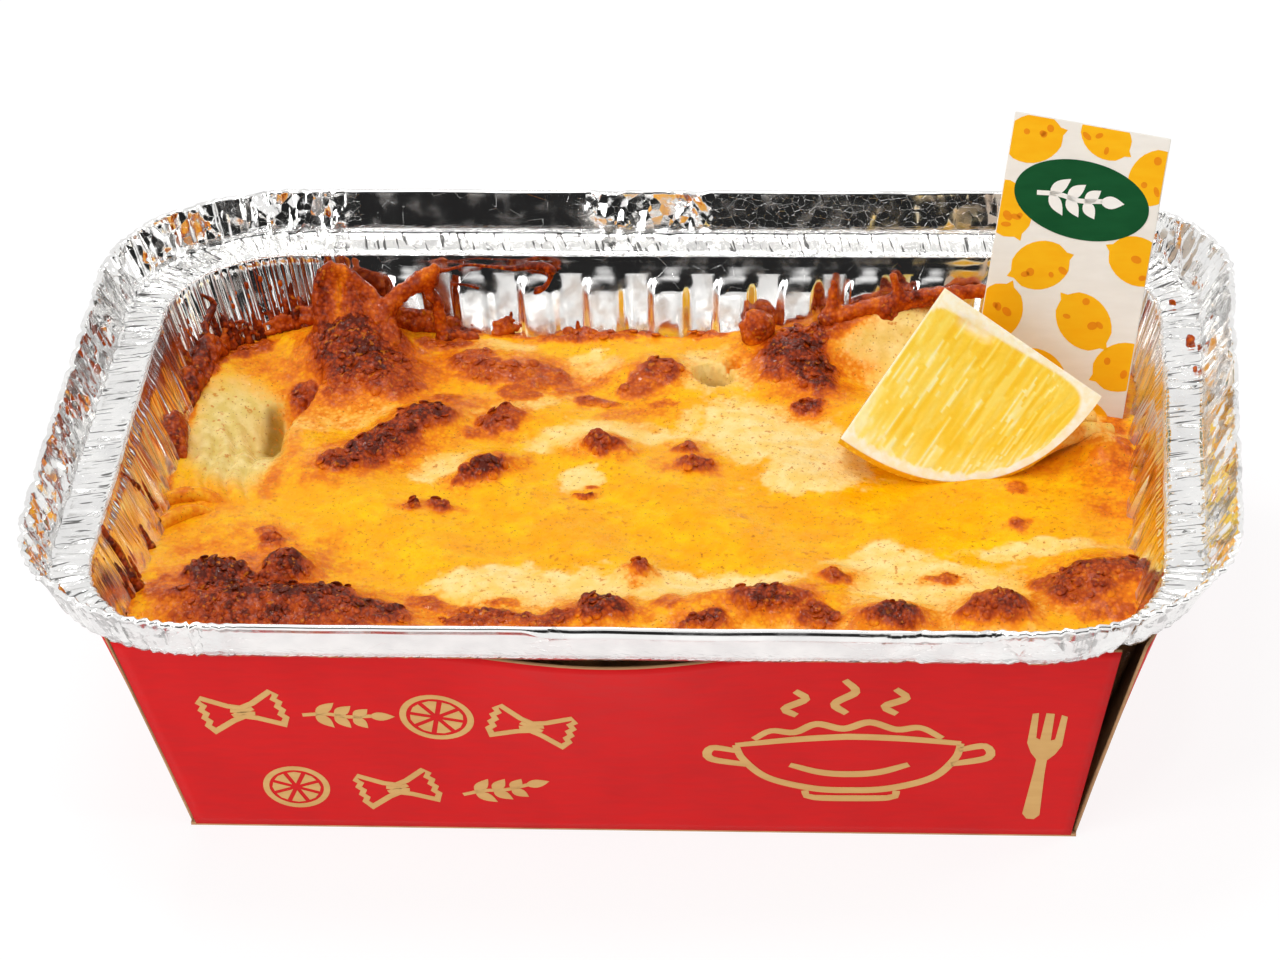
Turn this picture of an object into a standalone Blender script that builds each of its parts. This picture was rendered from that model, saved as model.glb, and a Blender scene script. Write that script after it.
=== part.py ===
"""Foil tray meal: a baked cheese gratin in a fluted foil tray, with a lemon wedge and a label card
stuck in it, standing in a folded board sleeve.

The origin is the middle of the sleeve's underside. +X is to the right along the long side, the
front panel faces -Y, and +Z is up. Sizes are worked out from the named values below.
"""
import math
from collections import namedtuple

import bmesh
import bpy
from mathutils import Matrix, Vector

MM = 0.001
GAP = 0.3 * MM                     # clearance between two pieces that touch

# Foil tray: a rounded oblong wall, a flat ledge, and a rim that stands up from the ledge.
LEDGE_HEIGHT = 46.2 * MM
LEDGE_INNER = Vector((86.3, 60.3)) * MM       # half length and half width at the ledge's inner edge
LEDGE_OUTER = Vector((92.0, 66.0)) * MM
LEDGE_CORNER = 27.6 * MM
WALL_CORNER_TOP = 22.0 * MM
WALL_CORNER_FOOT = 15.0 * MM
WALL_LEAN_END = 0.346              # how far the end walls lean out for each unit of height
WALL_LEAN_SIDE = 0.306
TRAY_FLOOR = 1.3 * MM              # inner surface of the tray's floor
FLOOR_ROUND = 2.6 * MM             # radius between floor and wall
FOIL = 0.4 * MM                    # foil and its small wrinkles, taken as one wall
RIM_RISE = {"front": 8.6 * MM, "right": 8.4 * MM, "back": 7.2 * MM, "left": 8.4 * MM}
RIM_FLARE = {"front": 4.8 * MM, "right": 5.8 * MM, "back": 3.2 * MM, "left": 4.4 * MM}

# Ribs pressed into the tray's walls.
RIBS_LONG = 11
RIBS_SHORT = 7
RIB_DEPTH = 0.9 * MM
RIB_PHASES = (0.0, 0.08, 0.47, 0.66)          # foot, crown, crown, foot of one rib
RIB_LOW = 6.0 * MM
RIB_HIGH = 39.5 * MM
SHOULDER = 43.2 * MM
CORNER_STEPS = 6

# Board sleeve: a floor with four leaning panels, slit at the corners.
BOARD = 0.6 * MM
SLEEVE_HALF = Vector((72.0, 47.7)) * MM
SLIT = 0.9 * MM
PANEL_HEIGHT = 45.3 * MM
PANEL_TOP_HALF = 79.0 * MM         # half length of the front and back panels' top edge
PANEL_TOP_REACH = 61.8 * MM        # how far front and back panels lean out
FRONT_BOW = 3.2 * MM               # the front panel's top edge bulges in its middle
FRONT_BOW_SPAN = 30.0 * MM
END_TOP_MIDDLE = 87.3 * MM
END_TOP_EDGE = {-1: 80.3 * MM, 1: 83.1 * MM}
END_FLAT_HALF = 38.0 * MM
END_TOP_HALF = 60.4 * MM

# Gratin: melted cheese over pasta, baked to a crust with mounds and hollows. The places, rises and
# spreads of the mounds are in millimetres, their turns in degrees.
FOOD_LEVEL = 32.6 * MM
FOOD_GRID = (56, 40)
Mound = namedtuple("Mound", "x y rise length width turn")
MOUNDS = (
    # Along the back wall, from the left.
    Mound(-52.5, 47.5, 6.0, 8.5, 7.5, 0),
    Mound(-78.0, 44.0, 1.6, 6.0, 10.0, 0),
    Mound(-26.0, 43.0, 1.6, 9.0, 6.0, 0),
    Mound(-3.0, 41.0, 1.6, 9.0, 5.0, 0),
    Mound(24.0, 44.5, 2.6, 7.0, 9.0, -15),
    Mound(38.0, 53.0, 6.2, 17.0, 5.5, 4),
    # Across the middle.
    Mound(-62.5, 36.0, 1.4, 4.0, 3.5, 0),
    Mound(-43.5, 20.5, 3.0, 14.0, 5.0, 40),
    Mound(-27.2, 10.5, 2.2, 6.0, 3.2, 38),
    Mound(-25.0, 26.5, 1.2, 5.0, 4.5, 0),
    Mound(-8.3, 17.8, 1.6, 4.5, 2.6, 0),
    Mound(6.4, 15.5, 1.6, 4.0, 5.0, 0),
    Mound(76.0, 17.0, 3.0, 4.5, 5.0, 0),
    Mound(66.0, 28.0, 2.4, 14.0, 4.0, -8),
    # Along the front wall, from the left.
    Mound(-68.0, -24.5, 3.4, 6.5, 4.5, 0),
    Mound(-57.3, -23.0, 3.8, 5.0, 4.5, 30),
    Mound(-61.0, -33.5, 3.8, 18.0, 5.5, 0),
    Mound(-5.0, -34.0, 3.4, 6.0, 4.5, 0),
    Mound(0.8, -21.6, 2.0, 2.6, 2.6, 0),
    Mound(18.0, -31.5, 4.0, 12.0, 4.5, 6),
    Mound(32.6, -21.6, 1.4, 3.6, 3.0, 0),
    Mound(43.0, -35.0, 4.0, 6.0, 4.5, 0),
    Mound(59.0, -33.0, 3.8, 6.5, 5.0, 0),
    Mound(74.5, -25.0, 4.2, 9.0, 8.5, 20),
    Mound(-30.0, -44.0, 1.8, 22.0, 6.0, 0),
)
HOLLOWS = (
    Mound(-69.5, 24.0, 3.4, 8.5, 17.0, 0),
    Mound(-66.8, 18.5, 3.6, 4.0, 5.0, 0),
    Mound(36.5, 42.0, 2.0, 9.0, 6.0, 0),
)
BUBBLES = (Mound(8.8, 40.6, 6.0, 3.6, 3.6, 0), Mound(12.0, 44.6, 3.0, 1.5, 1.5, 0))
SWELL = 0.45                       # slow rise and fall of the melted cheese, in millimetres

# Crust that stands up from the gratin: each strand runs through its points, with a radius at each,
# in millimetres.
STRANDS = {
    "left_lobe": (
        ((-55, 46, 34), 5.2),
        ((-57, 50, 39.5), 4.6),
        ((-58.6, 52.5, 44), 3.4),
        ((-59.0, 53.2, 46.4), 1.8),
    ),
    "right_arm": (
        ((-52, 47, 35), 4.6),
        ((-48.5, 51, 39.5), 3.0),
        ((-44, 53, 43), 2.2),
        ((-40.6, 53.6, 45.2), 1.9),
    ),
    "loop": (
        ((-42.0, 53.4, 43.6), 1.5),
        ((-39.8, 53.6, 41.4), 1.2),
        ((-39.7, 53.2, 37.4), 1.3),
        ((-38.8, 52, 31.5), 2.0),
    ),
    "string": (
        ((-41.0, 53.6, 45.2), 0.8),
        ((-35.4, 54.6, 45.9), 0.6),
        ((-29.0, 55.2, 45.2), 0.7),
        ((-23.4, 55.4, 45.6), 1.1),
        ((-20.3, 55.2, 44.4), 1.3),
    ),
    "spike_left": (((28.6, 52.6, 36.5), 1.8), ((29.0, 53.8, 40.5), 1.2), ((29.2, 54.6, 43.4), 0.7)),
    "spike_right": (((38.6, 53.0, 38.5), 2.0), ((40.2, 54.2, 41.6), 1.2), ((39.4, 54.9, 44.6), 0.8)),
}
BALL = ((15.7, 52.6, 35.8), 2.9)

# Lemon wedge: a tenth of a fruit cut lengthwise, halved across. Its core line runs from the middle
# of the fruit down to the right, to the tip.
LEMON_MIDDLE = Vector((49.4, 24.4, 60.0)) * MM
LEMON_RADIUS = 31.4 * MM
LEMON_HALF_LENGTH = 31.8 * MM
LEMON_FULLNESS = 2.35              # 2 is an ellipse, more is squarer
LEMON_FACE_TURN = math.radians(5)
LEMON_FACE_LEAN = math.radians(33)
LEMON_CORE_DROP = math.radians(37)
LEMON_WEDGE = math.radians(35)
LEMON_EDGE = 1.6 * MM              # thickness left along the core

# Label card, stuck upright into the gratin behind the lemon.
CARD_SIZE = Vector((26.5, 0.5, 54.5)) * MM
CARD_FOOT = Vector((65.2, 26.9, 29.3)) * MM   # middle of the card's lower edge
CARD_TURN = math.radians(-6)
CARD_LEAN = math.radians(19)
CARD_ROLL = math.radians(7.2)

COLOURS = {
    "foil_tray": ((0.80, 0.79, 0.77), 0.22, 1.0),
    "card_sleeve": ((0.66, 0.03, 0.03), 0.5, 0.0),
    "gratin": ((0.93, 0.53, 0.10), 0.4, 0.0),
    "lemon_wedge": ((0.95, 0.72, 0.16), 0.35, 0.0),
    "label_card": ((0.90, 0.86, 0.78), 0.5, 0.0),
}


def clear_scene():
    for thing in list(bpy.data.objects):
        bpy.data.objects.remove(thing, do_unlink=True)


def new_collection(name):
    collection = bpy.data.collections.new(name)
    bpy.context.scene.collection.children.link(collection)
    return collection


def material(name):
    colour, roughness, metallic = COLOURS[name]
    finish = bpy.data.materials.new(name)
    finish.use_nodes = True
    shader = finish.node_tree.nodes["Principled BSDF"]
    shader.inputs["Base Color"].default_value = (*colour, 1.0)
    shader.inputs["Roughness"].default_value = roughness
    shader.inputs["Metallic"].default_value = metallic
    return finish


def to_object(name, bm, collection, cutter=False):
    """Make an object of a bmesh, with its faces pointing out."""
    bmesh.ops.recalc_face_normals(bm, faces=bm.faces)
    mesh = bpy.data.meshes.new(name)
    bm.to_mesh(mesh)
    bm.free()
    thing = bpy.data.objects.new(name, mesh)
    collection.objects.link(thing)
    if cutter:
        thing.hide_render = True
        thing.display_type = "WIRE"
    else:
        mesh.materials.append(material(name))
    return thing


def boolean(thing, operation, other):
    step = thing.modifiers.new(other.name, "BOOLEAN")
    step.operation = operation
    step.solver = "EXACT"
    step.object = other


# Rounded oblong rings. A station is a place round the ring that every ring shares, whatever its size.
Station = namedtuple("Station", "side place rib")
SIDES = ("front", "right", "back", "left")


def stations(ribbed):
    """Places round the tray: rib edges on the straight sides, even steps on the corners."""
    places = []
    for number, side in enumerate(SIDES):
        ribs = (RIBS_LONG, RIBS_SHORT)[number % 2]
        if ribbed:
            for rib in range(ribs):
                for phase in RIB_PHASES:
                    crown = phase in RIB_PHASES[1:3]
                    places.append(Station(number, (rib + 0.2 + phase) / ribs, 1.0 if crown else 0.0))
        else:
            places.extend(Station(number, step / ribs, 0.0) for step in range(1, ribs))
        places.extend(Station(number + 0.5, step / CORNER_STEPS, 0.0) for step in range(CORNER_STEPS + 1))
    return places


def ring_point(station, half, radius, inward=0.0):
    """Place and outward direction of a station on a rounded oblong."""
    straight = half - Vector((radius, radius))
    number = int(station.side)
    corner = station.side != number
    start = math.radians(90 * number - 90)
    if corner:
        angle = start + math.radians(90) * station.place
        centre = Vector((straight.x * (1, 1, -1, -1)[number], straight.y * (-1, 1, 1, -1)[number]))
        outward = Vector((math.cos(angle), math.sin(angle)))
        return centre + outward * (radius - inward), outward
    outward = Vector((math.cos(start), math.sin(start)))
    along = Vector((-outward.y, outward.x))
    reach = straight.x if number % 2 == 0 else straight.y
    out = half.y if number % 2 == 0 else half.x
    return along * reach * (2 * station.place - 1) + outward * (out - inward), outward


def wall_half(height):
    """Half length and half width of the wall's inner surface at a height."""
    below = LEDGE_HEIGHT - height
    return LEDGE_INNER - Vector((WALL_LEAN_END, WALL_LEAN_SIDE)) * below


def wall_corner(height):
    part = (height - TRAY_FLOOR) / (LEDGE_HEIGHT - TRAY_FLOOR)
    return WALL_CORNER_FOOT + (WALL_CORNER_TOP - WALL_CORNER_FOOT) * part


def by_direction(sizes, outward):
    """A size that differs from side to side, for a direction round the tray."""
    across = sizes["right"] if outward.x > 0 else sizes["left"]
    along = sizes["back"] if outward.y > 0 else sizes["front"]
    return across * outward.x ** 2 + along * outward.y ** 2


def loft(bm, rings, closed_top=False):
    """Skin a list of equal rings, with one face over the first and, if asked, over the last."""
    for lower, upper in zip(rings, rings[1:]):
        for index in range(len(lower)):
            following = (index + 1) % len(lower)
            bm.faces.new((lower[index], lower[following], upper[following], upper[index]))
    bm.faces.new(list(reversed(rings[0])))
    if closed_top:
        bm.faces.new(rings[-1])


def make_foil_tray(collection):
    bm = bmesh.new()
    places = stations(ribbed=True)

    def wall_ring(height, rib_depth, inset=0.0):
        ring = []
        for place in places:
            inward = inset + place.rib * rib_depth
            point, _ = ring_point(place, wall_half(height), wall_corner(height), inward)
            ring.append(bm.verts.new((*point, height)))
        return ring

    rings = [
        wall_ring(TRAY_FLOOR, 0.0, FLOOR_ROUND),
        wall_ring(TRAY_FLOOR + FLOOR_ROUND, 0.0),
        wall_ring(RIB_LOW, RIB_DEPTH),
        wall_ring(RIB_HIGH, RIB_DEPTH),
        wall_ring(SHOULDER, 0.0),
        wall_ring(LEDGE_HEIGHT, 0.0),
    ]
    ledge = [ring_point(place, LEDGE_OUTER, LEDGE_CORNER) for place in places]
    rings.append([bm.verts.new((*point, LEDGE_HEIGHT)) for point, _ in ledge])
    rim = []
    for point, outward in ledge:
        reach = point + outward * by_direction(RIM_FLARE, outward)
        rim.append(bm.verts.new((*reach, LEDGE_HEIGHT + by_direction(RIM_RISE, outward))))
    rings.append(rim)
    loft(bm, rings)
    tray = to_object("foil_tray", bm, collection)
    for face in tray.data.polygons:
        face.flip()
    shell = tray.modifiers.new("foil", "SOLIDIFY")
    shell.thickness = FOIL
    shell.offset = -1.0
    shell.use_even_offset = True
    shell.use_quality_normals = True
    return tray


def side_reach(part):
    """How far out the front or back panel stands at a share of its height."""
    return SLEEVE_HALF.y + (PANEL_TOP_REACH - SLEEVE_HALF.y) * part


def front_bow(x, part):
    middle = max(0.0, 1 - (x / FRONT_BOW_SPAN) ** 2)
    return FRONT_BOW * middle ** 2 * part ** 3


def end_reach(side, across, part):
    """How far out an end panel stands. It bulges between its corners to clear the tray."""
    beyond = max(0.0, abs(across) * END_TOP_HALF - END_FLAT_HALF) / (END_TOP_HALF - END_FLAT_HALF)
    top = END_TOP_MIDDLE + (END_TOP_EDGE[side] - END_TOP_MIDDLE) * beyond ** 2
    return SLEEVE_HALF.x + (top - SLEEVE_HALF.x) * part


def add_panel(bm, foot, steps, place):
    """Add a panel that rises from a row of foot points. place(part, number) gives each point."""
    rows = [foot]
    for step in range(1, steps + 1):
        rows.append([bm.verts.new(place(step / steps, number)) for number in range(len(foot))])
    for lower, upper in zip(rows, rows[1:]):
        for number in range(len(foot) - 1):
            bm.faces.new((lower[number], lower[number + 1], upper[number + 1], upper[number]))


def make_card_sleeve(collection):
    bm = bmesh.new()
    long_steps = 12
    short_steps = 12
    rows = 4
    feet = {}
    spans_long = [2 * step / long_steps - 1 for step in range(long_steps + 1)]
    spans_short = [2 * step / short_steps - 1 for step in range(short_steps + 1)]
    inner = SLEEVE_HALF - Vector((SLIT, SLIT))
    for side in (-1, 1):
        out = SLEEVE_HALF * side
        feet["long", side] = [bm.verts.new((inner.x * span, out.y, 0)) for span in spans_long]
        feet["short", side] = [bm.verts.new((out.x, inner.y * span, 0)) for span in spans_short]
    floor = feet["long", -1] + feet["short", 1] + feet["long", 1][::-1] + feet["short", -1][::-1]
    bm.faces.new(floor)
    for side in (-1, 1):

        def long_place(part, number, side=side):
            half = inner.x + (PANEL_TOP_HALF - inner.x) * part
            x = half * spans_long[number]
            bow = front_bow(x, part) if side < 0 else 0.0
            return (x, side * (side_reach(part) + bow), PANEL_HEIGHT * part)

        def short_place(part, number, side=side):
            half = inner.y + (END_TOP_HALF - inner.y) * part
            span = spans_short[number]
            return (side * end_reach(side, span, part), half * span, PANEL_HEIGHT * part)

        add_panel(bm, feet["long", side], rows, long_place)
        add_panel(bm, feet["short", side], rows, short_place)
    sleeve = to_object("card_sleeve", bm, collection)
    board = sleeve.modifiers.new("board", "SOLIDIFY")
    board.thickness = BOARD
    board.offset = -1.0
    board.use_even_offset = True
    return sleeve


def mound_height(mound, x, y):
    """A smooth bump that is longer one way, turned about its middle."""
    turn = math.radians(mound.turn)
    dx = x - mound.x
    dy = y - mound.y
    along = (dx * math.cos(turn) + dy * math.sin(turn)) / mound.length
    across = (dy * math.cos(turn) - dx * math.sin(turn)) / mound.width
    return mound.rise * math.exp(-(along ** 2 + across ** 2))


def bubble_depth(bubble, x, y):
    away = math.hypot(x - bubble.x, y - bubble.y) / bubble.length
    return bubble.rise * math.sqrt(max(0.0, 1 - away ** 2))


def food_height(x, y):
    """Height of the gratin's top. x, y and the sums are in millimetres, as the mounds are."""
    rise = SWELL * (math.sin(x / 9.0 + 0.7) * math.cos(y / 7.0) + math.sin(x / 4.3 + y / 5.1))
    rise += max(mound_height(mound, x, y) for mound in MOUNDS)
    rise -= sum(mound_height(hollow, x, y) for hollow in HOLLOWS)
    rise -= sum(bubble_depth(bubble, x, y) for bubble in BUBBLES)
    return FOOD_LEVEL + rise * MM


def make_cavity(cutters):
    """The tray's inside, up to above the gratin, clear of the ribs."""
    bm = bmesh.new()
    places = stations(ribbed=False)
    clear = RIB_DEPTH + GAP
    levels = (
        (TRAY_FLOOR + GAP, FLOOR_ROUND + clear),
        (TRAY_FLOOR + FLOOR_ROUND + GAP, clear),
        (LEDGE_HEIGHT, clear),
    )
    rings = []
    for height, inset in levels:
        points = [ring_point(place, wall_half(height), wall_corner(height), inset)[0] for place in places]
        rings.append([bm.verts.new((*point, height)) for point in points])
    loft(bm, rings, closed_top=True)
    return to_object("cavity", bm, cutters, cutter=True)


def make_strand(name, points, cutters):
    """A tapering strand of crust along a smooth curve."""
    curve = bpy.data.curves.new(name, "CURVE")
    curve.dimensions = "3D"
    curve.bevel_depth = MM
    curve.bevel_resolution = 1
    curve.resolution_u = 3
    curve.use_fill_caps = True
    spline = curve.splines.new("BEZIER")
    spline.bezier_points.add(len(points) - 1)
    for handle, (place, radius) in zip(spline.bezier_points, points):
        handle.co = Vector(place) * MM
        handle.radius = radius
        handle.handle_left_type = "AUTO"
        handle.handle_right_type = "AUTO"
    route = bpy.data.objects.new(name + "_route", curve)
    cutters.objects.link(route)
    evaluated = route.evaluated_get(bpy.context.evaluated_depsgraph_get())
    bm = bmesh.new()
    bm.from_mesh(bpy.data.meshes.new_from_object(evaluated))
    bmesh.ops.remove_doubles(bm, verts=bm.verts, dist=0.00002)
    bpy.data.objects.remove(route, do_unlink=True)
    return to_object(name, bm, cutters, cutter=True)


def make_ball(cutters):
    place, radius = BALL
    bm = bmesh.new()
    bmesh.ops.create_uvsphere(bm, u_segments=12, v_segments=8, radius=radius * MM)
    bmesh.ops.translate(bm, verts=bm.verts, vec=Vector(place) * MM)
    return to_object("ball", bm, cutters, cutter=True)


def make_gratin(collection, cutters):
    bm = bmesh.new()
    half = LEDGE_INNER
    bmesh.ops.create_grid(bm, x_segments=FOOD_GRID[0], y_segments=FOOD_GRID[1], size=1.0)
    bmesh.ops.scale(bm, verts=bm.verts, vec=(half.x, half.y, 1.0))
    raised = bmesh.ops.extrude_face_region(bm, geom=bm.faces[:])
    top = [item for item in raised["geom"] if isinstance(item, bmesh.types.BMVert)]
    for vert in top:
        vert.co.z = food_height(vert.co.x / MM, vert.co.y / MM)
    bmesh.ops.dissolve_faces(bm, faces=[face for face in bm.faces if face.calc_center_median().z < 0.0001])
    gratin = to_object("gratin", bm, collection)
    boolean(gratin, "INTERSECT", make_cavity(cutters))
    for name, points in STRANDS.items():
        boolean(gratin, "UNION", make_strand(name, points, cutters))
    boolean(gratin, "UNION", make_ball(cutters))
    return gratin


def cut_flat(bm, point, outward):
    """Cut away everything beyond a plane and close the cut."""
    geometry = bm.verts[:] + bm.edges[:] + bm.faces[:]
    cut = bmesh.ops.bisect_plane(bm, geom=geometry, plane_co=point, plane_no=outward, clear_outer=True)
    edges = [item for item in cut["geom_cut"] if isinstance(item, bmesh.types.BMEdge)]
    bmesh.ops.edgeloop_fill(bm, edges=edges)


def lemon_shape(margin):
    """The wedge, larger all round by a margin, with its core line along local X."""
    bm = bmesh.new()
    bmesh.ops.create_uvsphere(bm, u_segments=40, v_segments=20, radius=1.0)
    for vert in bm.verts:
        around = math.hypot(vert.co.x, vert.co.y)
        reach = (around ** LEMON_FULLNESS + abs(vert.co.z) ** LEMON_FULLNESS) ** (-1 / LEMON_FULLNESS)
        radius = (LEMON_RADIUS + margin) * reach
        length = (LEMON_HALF_LENGTH + margin) * reach
        vert.co = Vector((vert.co.z * length, vert.co.x * radius, vert.co.y * radius))
    cut_flat(bm, Vector((-margin, 0, 0)), Vector((-1, 0, 0)))
    cut_flat(bm, Vector((0, -margin, 0)), Vector((0, -1, 0)))
    back = Vector((0, math.cos(LEMON_WEDGE), math.sin(LEMON_WEDGE)))
    cut_flat(bm, Vector((0, LEMON_EDGE, 0)) + back * margin, back)
    cut_flat(bm, Vector((0, 0, margin)), Vector((0, 0, 1)))
    place = (
        Matrix.Translation(LEMON_MIDDLE)
        @ Matrix.Rotation(LEMON_FACE_TURN, 4, "Z")
        @ Matrix.Rotation(-LEMON_FACE_LEAN, 4, "X")
        @ Matrix.Rotation(LEMON_CORE_DROP, 4, "Y")
    )
    bmesh.ops.transform(bm, verts=bm.verts, matrix=place)
    return bm


def card_shape(margin):
    bm = bmesh.new()
    bmesh.ops.create_cube(bm, size=1.0)
    size = CARD_SIZE + Vector((margin, margin, margin)) * 2
    bmesh.ops.scale(bm, verts=bm.verts, vec=size)
    bmesh.ops.translate(bm, verts=bm.verts, vec=(0, 0, CARD_SIZE.z / 2))
    place = (
        Matrix.Translation(CARD_FOOT)
        @ Matrix.Rotation(CARD_TURN, 4, "Z")
        @ Matrix.Rotation(-CARD_LEAN, 4, "X")
        @ Matrix.Rotation(CARD_ROLL, 4, "Y")
    )
    bmesh.ops.transform(bm, verts=bm.verts, matrix=place)
    return bm


def main():
    clear_scene()
    meal = new_collection("foil_tray_meal")
    cutters = new_collection("cutters")
    make_foil_tray(meal)
    make_card_sleeve(meal)
    gratin = make_gratin(meal, cutters)
    to_object("lemon_wedge", lemon_shape(0.0), meal)
    to_object("label_card", card_shape(0.0), meal)
    boolean(gratin, "DIFFERENCE", to_object("lemon_pocket", lemon_shape(GAP), cutters, cutter=True))
    boolean(gratin, "DIFFERENCE", to_object("card_slot", card_shape(GAP), cutters, cutter=True))


main()
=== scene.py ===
"""Looks of the foil tray meal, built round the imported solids.

Sizes and places are in millimetres until a mesh is made, and turns are in degrees.
"""
import math

import bmesh
import bpy
import numpy as np
from mathutils import Matrix, Vector
from mathutils.geometry import tessellate_polygon


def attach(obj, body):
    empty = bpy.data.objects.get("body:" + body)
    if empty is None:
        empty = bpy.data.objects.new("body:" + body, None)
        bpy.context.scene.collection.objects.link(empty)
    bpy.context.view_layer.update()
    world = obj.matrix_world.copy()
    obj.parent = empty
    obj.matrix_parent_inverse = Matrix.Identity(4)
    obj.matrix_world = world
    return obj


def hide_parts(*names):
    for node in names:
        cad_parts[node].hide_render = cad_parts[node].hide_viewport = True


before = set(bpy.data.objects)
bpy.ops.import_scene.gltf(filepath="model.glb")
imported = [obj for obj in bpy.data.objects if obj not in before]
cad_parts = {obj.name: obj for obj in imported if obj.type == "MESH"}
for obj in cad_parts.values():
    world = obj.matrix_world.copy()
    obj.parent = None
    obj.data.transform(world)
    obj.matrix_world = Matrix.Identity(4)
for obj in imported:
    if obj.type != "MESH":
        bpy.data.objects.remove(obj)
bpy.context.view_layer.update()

MM = 0.001

# Foil tray, as the solid has it.
LEDGE_HEIGHT = 46.2
LEDGE_INNER = np.array((86.3, 60.3))
LEDGE_OUTER = np.array((92.0, 66.0))
LEDGE_CORNER = 27.6
WALL_CORNER_TOP = 22.0
WALL_CORNER_FOOT = 15.0
WALL_LEAN = np.array((0.346, 0.306))
TRAY_FLOOR = 1.3
FLOOR_ROUND = 2.6
RIM_RISE = {"front": 8.6, "right": 8.4, "back": 7.2, "left": 8.4}
RIM_FLARE = {"front": 4.8, "right": 5.8, "back": 3.6, "left": 4.4}
RIBS = (11, 7, 11, 7)
RIB_DEPTH = 0.95
RIB_TOP = 43.4
RIB_SETBACK = 0.2                  # where a side's first rib starts, in ribs
RIB_STEPS = 20
CORNER_STEPS = 110
CORNER_SIGNS = ((1, -1), (1, 1), (-1, 1), (-1, -1))
BACK_SIDE = 2                      # sides run from the front, to the right
SKIN = 0.3                         # foil thickness
BEAD = 0.5                         # radius of the rolled edge
FRONT_CRINKLES = ((-64, 7), (-9, 2.2), (47, 7), (70, 4))
BEAD_PRESSED = 1.1                 # how far the front edge is pressed down
BEAD_ANGLES = (150, 105, 60, 15, -30, -75, -110)
FOOT_STEPS = ((0.0, 2.6), (0.35, 0.9), (0.7, 0.2))
WALL_HEIGHTS = (
    3.9, 9, 15, 20, 24, 27, 29, 31, 32.6, 34.2, 35.6, 36.8, 37.8, 38.6, 39.4, 40.1, 40.8, 41.5,
    42.2, 42.7, 43.2, 43.8, 44.6)
LIP_STEPS = ((-0.12, -0.75), (-0.05, -0.25), (0.03, 0.0))
LEDGE_STEPS = (0.12, 0.28, 0.44, 0.6, 0.76, 0.9)
RIM_STEPS = (0.0, 0.06, 0.15, 0.26, 0.38, 0.5, 0.62, 0.74, 0.86, 1.0)

# Board sleeve.
BOARD = 0.6
SLEEVE_HALF = np.array((72.0, 47.7))
SLIT = 0.9
PANEL_HEIGHT = 45.3
PANEL_TOP_HALF = 79.0
PANEL_TOP_REACH = 61.8
FRONT_BOW = 3.2
FRONT_BOW_SPAN = 30.0
FRONT_DIP = 2.2                    # how far the front panel's top sinks in the middle
FRONT_DIP_SPAN = 41.0
END_TOP_MIDDLE = 87.3
END_TOP_EDGE = {-1: 80.3, 1: 83.1}
END_FLAT_HALF = 38.0
END_TOP_HALF = 60.4

# Lemon wedge and label card.
LEMON_MIDDLE = (49.4, 24.4, 60.0)
LEMON_RADIUS = 31.4
LEMON_HALF_LENGTH = 31.8
LEMON_FULLNESS = 2.35
LEMON_TURNS = (5.0, -33.0, 37.0)
LEMON_WEDGE = math.radians(35)
LEMON_EDGE = 1.6                   # thickness of the wedge's thin edge
LEMON_CHAMFER = 0.95
LEMON_END_STEPS = (0.93, 0.82, 0.7, 0.58, 0.46, 0.34, 0.24, 0.16, 0.09, 0.045)
CARD_SIZE = (26.5, 0.5, 54.5)
CARD_FOOT = (65.2, 26.9, 29.3)
CARD_TURNS = (-6.0, -19.0, 7.2)

# Gratin: its level by the wall, and the hidden skirt below its edge.
FOOD_LEVEL = 32.6
SKIRT_DEPTHS = (1.5, 10.0, 31.0)
SKIRT_GAP = 1.2


def screen(red, green, blue):
    """A shader colour from screen values of 0 to 255."""
    parts = [value / 255 for value in (red, green, blue)]
    return (*[p / 12.92 if p <= 0.04045 else ((p + 0.055) / 1.055) ** 2.4 for p in parts], 1.0)


def ease(low, high, value):
    """0 below low, 1 above high, and a soft step between."""
    part = np.clip((value - low) / (high - low), 0, 1)
    return part * part * (3 - 2 * part)


def cloud(x, y, size, seed):
    """Soft random values from 0 to 1 that change over about one size."""
    table = np.random.default_rng(seed).random((128, 128))
    gx, gy = np.asarray(x) / size + 64, np.asarray(y) / size + 64
    ix, iy = np.floor(gx).astype(int), np.floor(gy).astype(int)
    fx, fy = gx - ix, gy - iy
    fx, fy = fx * fx * (3 - 2 * fx), fy * fy * (3 - 2 * fy)
    low = table[ix % 128, iy % 128] * (1 - fx) + table[(ix + 1) % 128, iy % 128] * fx
    high = table[ix % 128, (iy + 1) % 128] * (1 - fx) + table[(ix + 1) % 128, (iy + 1) % 128] * fx
    return low * (1 - fy) + high * fy


def clouds(x, y, size, seed, layers=3):
    """Several clouds, each half the size and half the strength of the last."""
    total, weight = 0.0, 0.0
    for layer in range(layers):
        share = 0.5 ** layer
        total = total + share * cloud(x, y, size * share, seed + layer)
        weight += share
    return total / weight


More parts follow.
